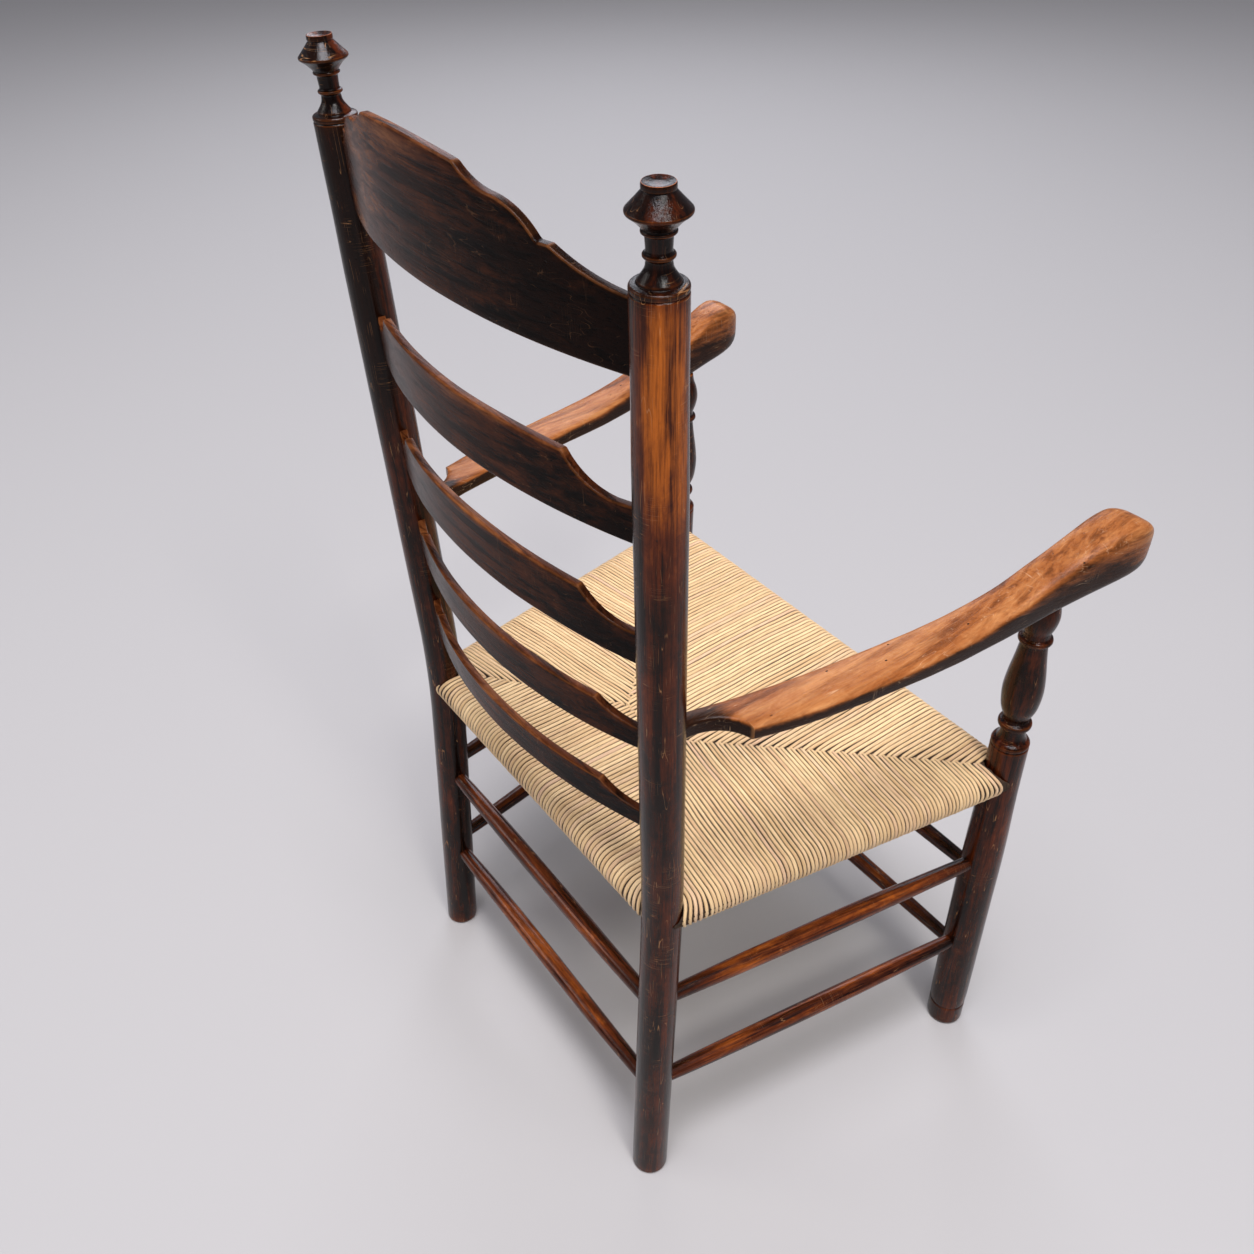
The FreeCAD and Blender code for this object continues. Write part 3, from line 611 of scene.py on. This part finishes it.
def crestRules(half):
    c = crest
    low = arcThrough((-half, c["lowEnd"]), (0, c["lowMid"]), (half, c["lowEnd"]))
    peak, waist = (c["peakHalf"], c["peak"]), (c["waistHalf"], c["waist"])
    notchIn, notchOut = (c["notchIn"], c["notch"]), (c["notchOut"], c["notch"])
    sweep = between(waist, peak, c["sweep"])
    belly = between(notchIn, waist, c["belly"])
    sides = []
    for reach, shares in zip((half + c["shift"], half - c["shift"]), c["hollows"]):
        foot = (reach, c["end"])
        sides.append(pieced([
            (0, peak[0], arcThrough((-peak[0], peak[1]), (0, c["mid"]), peak)),
            (peak[0], waist[0], arcThrough(peak, sweep, waist)),
            (waist[0], notchIn[0], arcThrough(waist, belly, notchIn)),
            (notchIn[0], notchOut[0], lambda x: c["notch"]),
            (notchOut[0], reach, arcThrough(notchOut, between(notchOut, foot, shares), foot))]))
    return low, lambda x: sides[1 if x > c["shift"] else 0](x - c["shift"])


def makeSlat(name, half, low, high, seed, rubRule):
    bm = bmesh.new()
    bmesh.ops.create_grid(bm, x_segments=slat["across"], y_segments=slat["up"], size=1)
    inside = half * slat["inside"]
    bow = arcThrough((-half, -slat["forward"]), (0, slat["bow"] - slat["forward"]),
                     (half, -slat["forward"]))
    lean = math.atan2(layout["lean"], layout["shoulder"] - layout["bend"])
    for v in bm.verts:
        x = v.co.x * inside
        share = (v.co.y + 1) / 2
        z = low(x) + share * (high(x) - low(x))
        warp = slat["warp"] * noise.noise(Vector((x * 14, z * 14, seed * 3.7)))
        v.co = Vector((x, bow(x) + warp, z))
    bmesh.ops.recalc_face_normals(bm, faces=bm.faces[:])
    bm.normal_update()
    if bm.faces[0].normal.y < 0:
        bmesh.ops.reverse_faces(bm, faces=bm.faces[:])
        bm.normal_update()
    for v in bm.verts:
        v.co += v.normal * slat["thickness"] / 2
    bmesh.ops.solidify(bm, geom=bm.faces[:], thickness=slat["thickness"])
    bmesh.ops.recalc_face_normals(bm, faces=bm.faces[:])
    rim = [e for e in bm.edges if len(e.link_faces) == 2 and e.calc_face_angle(0) > 1.1]
    bmesh.ops.bevel(bm, geom=rim, offset=slat["round"], segments=slat["roundSteps"],
                    profile=0.5, affect="EDGES", material=-1, clamp_overlap=True)
    keepGrain(bm, Vector((seed * 0.9, 0.3 * seed, seed * 0.5)),
              Matrix(((0, 0, 1), (0, 1, 0), (1, 0, 0))))
    setMark(bm, "rubAndShading", lambda v: rubRule(v.co.x / half,
            (v.co.z - low(v.co.x)) / (high(v.co.x) - low(v.co.x))))
    markEdges(bm, 0.12)
    pivot = Vector((0, 0, layout["bend"]))
    turn = (Matrix.Translation(Vector((0, layout["backY"], 0))) @ Matrix.Translation(pivot)
            @ Matrix.Rotation(-lean, 4, "X") @ Matrix.Translation(-pivot))
    bmesh.ops.transform(bm, matrix=turn, verts=bm.verts[:])
    return finishPiece(bm, "slat" + name, slatWood, "slat_" + name.lower())


# u goes from -1 at the sitter's right to 1 at the left, v from 0 below to 1 above
def crestRub(u, v):      # rubbed most to the sitter's left: on top, in the middle and low down
    rubAndShading = 0.42 * hump(u, 0.25, 0.45) * ease(0.55, 0.95, v)
    rubAndShading += 0.42 * hump(u, 0.42, 0.20) * hump(v, 0.45, 0.4)
    rubAndShading += 0.36 * hump(u, 0.68, 0.14) * ease(0.5, 0.1, v)
    rubAndShading += 0.18 * ease(0.3, 0.9, u)
    return rubAndShading - 0.42 * ease(0.0, -0.75, u) - 0.08


def lowerRub(u, v):
    rubAndShading = 0.24 * ease(0.7, 1.0, v) + 0.14 * hump(u, 0.1, 0.3)
    return rubAndShading + 0.1 * ease(0.2, 0.8, u) - 0.2 * ease(-0.3, -0.9, u) - 0.08


half = rearAxis((crest["lowEnd"] + crest["end"]) / 2).x - slat["gap"]
makeSlat("Crest", half, *crestRules(half), 1, crestRub)
for count, name in enumerate(("Second", "Third", "Fourth", "Fifth")):
    spec = slat[name]
    half = rearAxis((spec[0] + spec[2]) / 2).x - slat["gap"]
    makeSlat(name, half, *slatRules(half, spec), count + 2, lowerRub)
print("slats bent")


# arms
arm = {      # lengths in millimetres
    # forward of the rear post, middle outside the posts' line, width, underside, thickness
    "stations": [
        (-8, 3.0, 33.0, 2.0, 15.0), (45, 10.5, 38.5, 2.0, 15.2),
        (110, 15.8, 43.0, 1.0, 15.6), (190, 16.0, 44.5, 0.0, 16.6),
        (265, 13.6, 42.0, 0.0, 20.5), (325, 11.6, 38.5, 3.5, 28.0),
        (370, 9.8, 38.5, 8.5, 39.0), (410, 9.2, 42.0, 14.0, 49.5),
        (438, 9.0, 46.0, 18.5, 54.5), (456, 8.8, 47.0, 21.5, 54.5),
    ],
    "length": 483.0, "noseStart": 446.0, "droop": 0.42, "blunt": 2.15,
    "scoopForward": 59.5, "scoopLength": 42.5, "scoopWidth": 32.6, "bellyOut": 13.6,
    "bellyBack": 9.9, "neckHalf": 8.6,
    "knuckle": (330, 450), "square": 6.0, "softer": 0.8, "crown": 1.0, "uneven": 0.4,
    # rows of points: start, spacing and number, then those at the scoop's corner
    "rows": [(8, 3.0, 13), (47, 1.0, 12), (70, 7.0, 54)],
    "cornerRows": [58.9, 59.45, 59.52, 60.3, 62, 65],
    "around": 56,
}


def scoopEdge(forward):        # how far out the scooped side stands, from the post's axis
    start = arm["scoopForward"] - arm["scoopLength"]
    if forward <= start:
        return arm["neckHalf"]
    curve = arcThrough((start, 0.0), (arm["scoopForward"] - arm["bellyBack"], arm["bellyOut"]),
                       (arm["scoopForward"], arm["scoopWidth"]))
    return arm["neckHalf"] + curve(forward)


def armShape(forward):
    at = rearAxis(layout["armHeight"])
    reach = (at.y - frontAxis(layout["armHeight"]).y) * 1000
    share = forward / reach
    lineX = at.x * 1000 + share * (layout["frontArm"] * 1000 - at.x * 1000)
    offset, width, under, thick = glide(arm["stations"], min(forward, arm["noseStart"] + 8))
    middle = lineX + offset
    size = 1.0
    if forward > arm["noseStart"]:
        part = (forward - arm["noseStart"]) / (arm["length"] - arm["noseStart"])
        size = max(1 - part ** arm["blunt"], 0) ** (1 / arm["blunt"])
    under += arm["droop"] * thick * (1 - size)
    inner = middle - width * size / 2
    outer = middle + width * size / 2
    if forward < arm["scoopForward"]:
        outer = min(outer, at.x * 1000 + scoopEdge(forward))
    return inner, outer, under, thick * size, ease(*arm["knuckle"], forward)


def makeArm(name, side):
    length, around = arm["length"], arm["around"]
    places = arm["cornerRows"] + [start + gap * k for start, gap, count in arm["rows"]
                                  for k in range(count)]
    places += [arm["noseStart"] + (length - arm["noseStart"]) * math.sin(math.radians(a))
               for a in range(6, 91, 6)]
    places = sorted(set(p for p in places if p <= length))
    bm = bmesh.new()
    bmesh.ops.create_grid(bm, x_segments=len(places) - 1, y_segments=around, size=1)
    at = rearAxis(layout["armHeight"])
    for v in bm.verts:
        step = round((v.co.x + 1) / 2 * (len(places) - 1))
        forward = places[step]
        inner, outer, under, thick, knuckle = armShape(forward)
        turn = 2 * math.pi * round((v.co.y + 1) / 2 * around) / around
        power = 2 / (arm["square"] - arm["softer"] * knuckle)
        c, s = math.cos(turn), math.sin(turn)
        middle = (inner + outer) / 2
        x = middle + (outer - inner) / 2 * math.copysign(abs(c) ** power, c)
        z = under + thick / 2 + thick / 2 * math.copysign(abs(s) ** power, s)
        aside = 2 * (x - middle) / max(outer - inner, 1)
        z += arm["crown"] * max(s, 0) * (1 - aside ** 2)
        v.co = Vector((x / 1000, at.y - forward / 1000, layout["armHeight"] + z / 1000))
    bmesh.ops.remove_doubles(bm, verts=bm.verts[:], dist=2e-6)
    holes = [e for e in bm.edges if len(e.link_faces) == 1]
    bmesh.ops.holes_fill(bm, edges=holes, sides=0)
    bmesh.ops.recalc_face_normals(bm, faces=bm.faces[:])
    for v in bm.verts:
        dent = arm["uneven"] / 1000 * noise.noise(v.co * 34 + Vector((side, 0, 0)))
        v.co += v.normal * dent
    keepGrain(bm, Vector((0.31 * side, 0.77, 0.2)), Matrix(((1, 0, 0), (0, 0, 1), (0, 1, 0))))
    bm.normal_update()
    # rubbed on top and round the knuckle, with painted light where the surface faces up;
    # painted shade low on the flanks, and dark at the neck
    def wearAndShading(v):
        up = ease(0.1, 0.8, v.normal.z)
        forward = (at.y - v.co.y) * 1000
        under, thick = armShape(forward)[2:4]
        level = ((v.co.z - layout["armHeight"]) * 1000 - under) / max(thick, 1)
        flank = 0.55 * ease(0.3, 0.95, level) - 0.38
        flank += 0.75 * ease(395, 470, forward) * ease(0.0, 0.5, level)
        # painted light on the up-facing top, painted shade on the lower flanks
        return 0.62 * up + flank * (1 - up) - 0.6 * ease(62, 40, forward)
    setMark(bm, "rubAndShading", wearAndShading)
    markEdges(bm, 0.1)
    if side < 0:
        bmesh.ops.scale(bm, vec=(-1, 1, 1), verts=bm.verts[:])
        bmesh.ops.recalc_face_normals(bm, faces=bm.faces[:])
    return finishPiece(bm, "arm" + name, armWood, "arm_" + name.lower(), 0.7)


for name, side in (("Right", -1), ("Left", 1)):
    makeArm(name, side)
print("arms carved")


# rush seat
rush = {
    "top": 0.4305, "roll": 0.017, "drop": 0.004, "rise": 0.0065, "swell": 0.0016,
    "bridgeHalf": 0.033, "bridgeForward": 0.1325, "sideOut": 0.003, "frontIn": 0.006,
    "strand": 0.0018,        # half a strand's thickness
    "width": 0.458, "widthSpread": 0.02,          # half its width, in pitches
    "pitch": {"Rear": 0.0052, "Left": 0.0043, "Front": 0.0050, "Right": 0.0043},
    "clear": 0.0188,         # first strand beside a post
    # the rounds that strands close in on at a panel's two ends, and how many strands do
    "posts": (0.019, 0.0195), "closing": 5,
    "tuck": 0.0010, "dive": (0.0030, 0.0018), "pinch": 0.12,      # at the seams
    "sway": 0.0022, "tremble": 0.0003, "lumps": 0.10, "lift": 0.00018,
    "around": 10, "shrink": 0.0030,
}


def rushCorners():
    height = rush["top"] - rush["roll"]
    rear, front = rearAxis(height), frontAxis(height)
    frontY = front.y + rush["frontIn"]
    share = (rear.y - frontY) / (rear.y - front.y)
    rearX = rear.x + rush["sideOut"]
    frontX = rearX + share * (front.x - rear.x)
    return [Vector((-rearX, rear.y)), Vector((rearX, rear.y)), Vector((frontX, frontY)),
            Vector((-frontX, frontY))]


def rushMaterial():
    material, tree, shader = newMaterial("rushStraw")
    grain = attribute(tree, "grain", "Vector")
    tone, pink, strandShade = (attribute(tree, name) for name in ("tone", "pink", "strandShade"))
    fibre = cloud(tree, stretched(tree, grain, (2600, 1, 60)), 1, 3, 0.6)
    blotch = cloud(tree, stretched(tree, grain, (260, 1, 34)), 1, 4, 0.6, 0.5)
    # tone is each strand's random tone, with painted light on its outer face
    color = blendColor(tree, tone, (0.60, 0.36, 0.16, 1), (1.0, 0.74, 0.41, 1))
    color = blendColor(tree, pink, color, (0.80, 0.53, 0.35, 1))
    color = blendColor(tree, ramp(tree, blotch, 0.58, 0.80, 0, 0.5), color,
                       (0.36, 0.19, 0.075, 1))
    color = blendColor(tree, ramp(tree, fibre, 0.6, 0.36, 0, 0.42), color,
                       (0.38, 0.21, 0.085, 1))
    # painted shade on the strands' sides and undersides and in the creases at the seams
    color = blendColor(tree, strandShade, color, (0.03, 0.012, 0.004, 1))
    tree.links.new(color, shader.inputs["Base Color"])
    tree.links.new(ramp(tree, fibre, 0.3, 0.7, 0.5, 0.66), shader.inputs["Roughness"])
    addBump(tree, shader, 0.35, 0.0004, weighted(tree, (fibre, 1), (blotch, 0.5)))
    shader.inputs["Specular IOR Level"].default_value = 0.35
    shader.inputs["Sheen Weight"].default_value = 0.12
    shader.inputs["Sheen Roughness"].default_value = 0.5
    return material


rushStraw = rushMaterial()
corners = rushCorners()
bridgeY = rearAxis(rush["top"] - rush["roll"]).y - rush["bridgeForward"]
bridge = [Vector((-rush["bridgeHalf"], bridgeY)), Vector((rush["bridgeHalf"], bridgeY))]


def strandRows(seam, reach, tuck, paired):
    # from the seam over the top, round the roll and back below: distance in from the rail,
    # height, size, pinch and whether it is on top
    thick, roll, top = rush["strand"], rush["roll"], rush["top"]
    ends = seam + tuck * rush["tuck"] * paired
    dive = rush["dive"][0] if tuck >= 0 else rush["dive"][1]
    path = [(ends + 0.0045, -dive - 0.0035, 0.0, 1), (ends + 0.0030, -dive - 0.0018, 0.75, 1),
            (ends + 0.0008, -dive * 0.45, 0.95, 0.9), (ends - 0.0022, -0.0004, 1.0, 0.6)]
    steps = max(int(seam / 0.0085), 2)
    for s in range(1, steps + 1):
        path.append((max((ends - 0.0055) * (1 - s / steps), 0), 0.0, 1.0,
                     max(0.35 - s * 0.12, 0)))
    rows = []
    for w, dz, size, pinch in path:
        share = w / reach
        z = top - thick - rush["drop"] * share + dz
        z += rush["swell"] * math.sin(math.pi * min(share, 1)) * (seam / reach)
        rows.append((w, z, size, pinch, True))
    for s in range(1, 12):
        turn = math.pi * s / 12
        rows.append((-(roll - thick) * math.sin(turn),
                     top - roll + (roll - thick) * math.cos(turn), 1.0, 0, False))
    under = max(int(seam / 0.02), 2)
    for s in range(under + 1):
        w = seam * s / under
        rows.append((w, top - 2 * roll + thick + rush["rise"] * w / reach, 1.0, 0, False))
    rows.append((seam + 0.003, rows[-1][1] + 0.003, 0.0, 0, False))
    return rows


def makePanel(name, start, end, seamStart, seamEnd, tuck):
    # u runs along the rail, w inwards to the seam
    along = (end - start).normalized()
    inward = Vector((along.y, -along.x))
    length = (end - start).length
    firstU, lastU = (seamStart - start).dot(along), (seamEnd - start).dot(along)
    reach = (seamStart - start).dot(inward)
    count = int((length - 2 * rush["clear"]) / rush["pitch"][name])
    pitch = (length - 2 * rush["clear"]) / count
    thick, around = rush["strand"], rush["around"]
    bm = bmesh.new()
    grainLayer = bm.verts.layers.float_vector.new("grain")
    toneLayer = bm.verts.layers.float.new("tone")
    pinkLayer = bm.verts.layers.float.new("pink")
    strandShadeLayer = bm.verts.layers.float.new("strandShade")
    slow = rand.random() * 40
    for k in range(count + 1):
        u = rush["clear"] + pitch * k
        if u < firstU:
            seam = reach * u / firstU
        elif u > lastU:
            seam = reach * (length - u) / (length - lastU)
        else:
            seam = reach
        paired = 1 if k % 2 else -1
        wide = pitch * (rush["width"] + rush["widthSpread"] * rand.uniform(-1, 1))
        rows = strandRows(seam, reach, tuck, paired)
        made = bmesh.ops.create_grid(bm, x_segments=len(rows) - 1, y_segments=around, size=1)
        tone = 0.52 + 0.13 * rand.gauss(0, 1) + 0.16 * noise.noise(Vector((k * 0.13, slow, 0)))
        pink = max(rand.gauss(-0.05, 0.3), 0)
        lift = rush["lift"] * rand.uniform(-1, 1)
        drift = rand.random() * 9
        runs = [0.0]
        for a, b in zip(rows[:-1], rows[1:]):
            runs.append(runs[-1] + math.hypot(a[0] - b[0], a[1] - b[1]))
        for v in made["verts"]:
            step = round((v.co.x + 1) / 2 * (len(rows) - 1))
            turn = 2 * math.pi * round((v.co.y + 1) / 2 * around) / around
            w, z, size, pinch, onTop = rows[step]
            # the strand's direction in the w-z plane
            back, ahead = rows[max(step - 1, 0)], rows[min(step + 1, len(rows) - 1)]
            way = Vector((ahead[0] - back[0], ahead[1] - back[1]))
            way = way.normalized() if way.length > 1e-9 else Vector((-1, 0))
            out = Vector((-way.y, way.x)) * -1
            wave = rush["sway"] * noise.noise(Vector((u * 14, w * 16, 3.3)))
            wave += rush["tremble"] * noise.noise(
                Vector((k * 7.7 + drift, runs[step] * 45, 1.1)))
            # the outer strands close in round the posts
            if w < 0:
                for number, post in zip((k, count - k), rush["posts"]):
                    close = post - math.sqrt(max(post * post - w * w, 0))
                    close *= max(1 - number / rush["closing"], 0)
                    wave += close * (-1 if number == k else 1)
            swell = 1 + rush["lumps"] * noise.noise(Vector((k * 3.1, runs[step] * 90, drift)))
            across = math.cos(turn) * wide * size * swell
            rise = math.sin(turn) * thick * size * (1 + 0.12 * swell - 0.12) + lift
            spotU = u + wave - paired * pinch * pitch * rush["pinch"]
            spotU += across * (1 - 0.25 * pinch)
            spot = start + along * spotU + inward * (w + out.x * rise)
            v.co = Vector((spot.x, spot.y, z + out.y * rise))
            v[grainLayer] = Vector((across + runs[step] * 0.12, k * 3.7, runs[step] + drift))
            # random tone, plus painted light on the strand's outer face
            v[toneLayer] = min(max(tone + 0.12 * math.sin(turn), 0), 1)
            v[pinkLayer] = min(pink, 0.8)
            # painted shade on the strand's sides and underside, and in the crease beside the
            # seam
            depth = ease(0.72, -0.05, math.sin(turn))
            near = ease(0.0035, -0.0035, seam - w) if onTop else 0
            v[strandShadeLayer] = min(depth + 0.22 * near, 1)
    bmesh.ops.remove_doubles(bm, verts=bm.verts[:], dist=1e-7)
    bmesh.ops.recalc_face_normals(bm, faces=bm.faces[:])
    return finishPiece(bm, "rush" + name, rushStraw, "rush_seat", 3.2)


for name, first, last, seamFirst, seamLast, tuck in (
        ("Rear", 0, 1, 0, 1, 1), ("Left", 1, 2, 1, 1, -1),
        ("Front", 2, 3, 1, 0, 1), ("Right", 3, 0, 0, 0, -1)):
    makePanel(name, corners[first], corners[last], bridge[seamFirst], bridge[seamLast], tuck)


# painted shade: a dark sheet inside the weave, seen only through its gaps
def makeShadeCore():
    bm = bmesh.new()
    bm.from_mesh(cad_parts["rush_seat"].data)
    bmesh.ops.remove_doubles(bm, verts=bm.verts[:], dist=1e-5)
    bm.normal_update()
    for v in bm.verts:
        v.co -= v.normal * rush["shrink"]
    for face in bm.faces:
        face.material_index = 0
    material, tree, shader = newMaterial("rushShade")
    place = addNode(tree, "ShaderNodeTexCoord").outputs["Object"]
    murk = cloud(tree, place, 420, 4)
    tree.links.new(blendColor(tree, murk, (0.012, 0.006, 0.003, 1), (0.07, 0.035, 0.014, 1)),
                   shader.inputs["Base Color"])
    shader.inputs["Roughness"].default_value = 0.9
    mesh = bpy.data.meshes.new("rushShadeCore")
    bm.to_mesh(mesh)
    bm.free()
    mesh.materials.clear()
    mesh.materials.append(material)
    core = addObject("rushShadeCore", mesh)
    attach(core, "root")
    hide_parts("rush_seat")


makeShadeCore()
print("rush woven")


# the hidden rails and stuffing keep their CAD solids
def plainWood(name, dark, light, rough):
    material, tree, shader = newMaterial(name)
    place = addNode(tree, "ShaderNodeTexCoord").outputs["Object"]
    streaks = cloud(tree, stretched(tree, place, (160, 160, 400)), 1, 5)
    tree.links.new(blendColor(tree, streaks, dark, light), shader.inputs["Base Color"])
    addBump(tree, shader, 0.3, 0.0005, streaks)
    shader.inputs["Roughness"].default_value = rough
    return material


railWood = plainWood("railWood", (0.16, 0.09, 0.045, 1), (0.34, 0.21, 0.11, 1), 0.6)
loosePacking = plainWood("loosePacking", (0.2, 0.12, 0.05, 1), (0.5, 0.34, 0.16, 1), 0.85)
for name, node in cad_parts.items():
    if name.startswith("seat_"):
        finish = loosePacking if name == "seat_stuffing" else railWood
        for place in node.material_slots:
            place.material = finish


# floor, lights, camera
stage = {
    "floor": 9.0, "pale": (0.45, 0.44, 0.43, 1), "sky": (0.86, 0.87, 1.0, 1), "skyPower": 0.22,
    "lamps": {
        "top": {"at": (-1.0, 0.9, 6.5), "aim": (0, 0, 0.4), "size": 3.0, "power": 430,
                "color": (0.95, 0.93, 1.0)},
        "key": {"at": (-2.4, 0.5, 3.6), "aim": (0, 0, 0.5), "size": 0.8, "power": 55,
                "color": (1.0, 0.97, 0.94)},
        "far": {"at": (3.4, -2.4, 3.3), "aim": (0, 0, 0.6), "size": 3.0, "power": 80,
                "color": (0.88, 0.90, 1.0)},
        "fill": {"at": (2.2, 2.8, 2.4), "aim": (0, 0, 0.6), "size": 1.6, "power": 18,
                 "color": (1.0, 0.97, 0.93)},
    },
}


def makeStage():
    bm = bmesh.new()
    bmesh.ops.create_grid(bm, x_segments=2, y_segments=2, size=stage["floor"])
    mesh = bpy.data.meshes.new("floor")
    bm.to_mesh(mesh)
    bm.free()
    material, tree, shader = newMaterial("paleFloor")
    shader.inputs["Base Color"].default_value = stage["pale"]
    shader.inputs["Roughness"].default_value = 0.85
    mesh.materials.append(material)
    addObject("floor", mesh)
    for name, spec in stage["lamps"].items():
        light = bpy.data.lights.new(name, "AREA")
        light.shape = "DISK"
        light.size = spec["size"]
        light.energy = spec["power"]
        light.color = spec["color"]
        lamp = addObject(name, light)
        way = Vector(spec["aim"]) - Vector(spec["at"])
        lamp.location = spec["at"]
        lamp.rotation_euler = way.to_track_quat("-Z", "Y").to_euler()
    world = bpy.data.worlds.new("softSky")
    world.use_nodes = True
    sky = world.node_tree.nodes["Background"].inputs
    sky["Color"].default_value = stage["sky"]
    sky["Strength"].default_value = stage["skyPower"]
    bpy.context.scene.world = world


# the camera's place, and which way its right, up and back point
view = {"lens": 33.54, "sensor": 36.0, "at": (-0.7198, 0.6115, 1.2851),
        "right": (-0.5905, -0.8070, -0.0104), "up": (0.5036, -0.3785, 0.7767),
        "back": (-0.6307, 0.4534, 0.6298)}


def makeCamera():
    camera = bpy.data.cameras.new("camera")
    camera.lens = view["lens"]
    camera.sensor_width = view["sensor"]
    eye = addObject("camera", camera)
    turn = Matrix((view["right"], view["up"], view["back"])).transposed().to_4x4()
    eye.matrix_world = Matrix.Translation(Vector(view["at"])) @ turn
    bpy.context.scene.camera = eye


makeStage()
makeCamera()
bpy.context.scene.view_settings.view_transform = "Standard"
print("stage set")
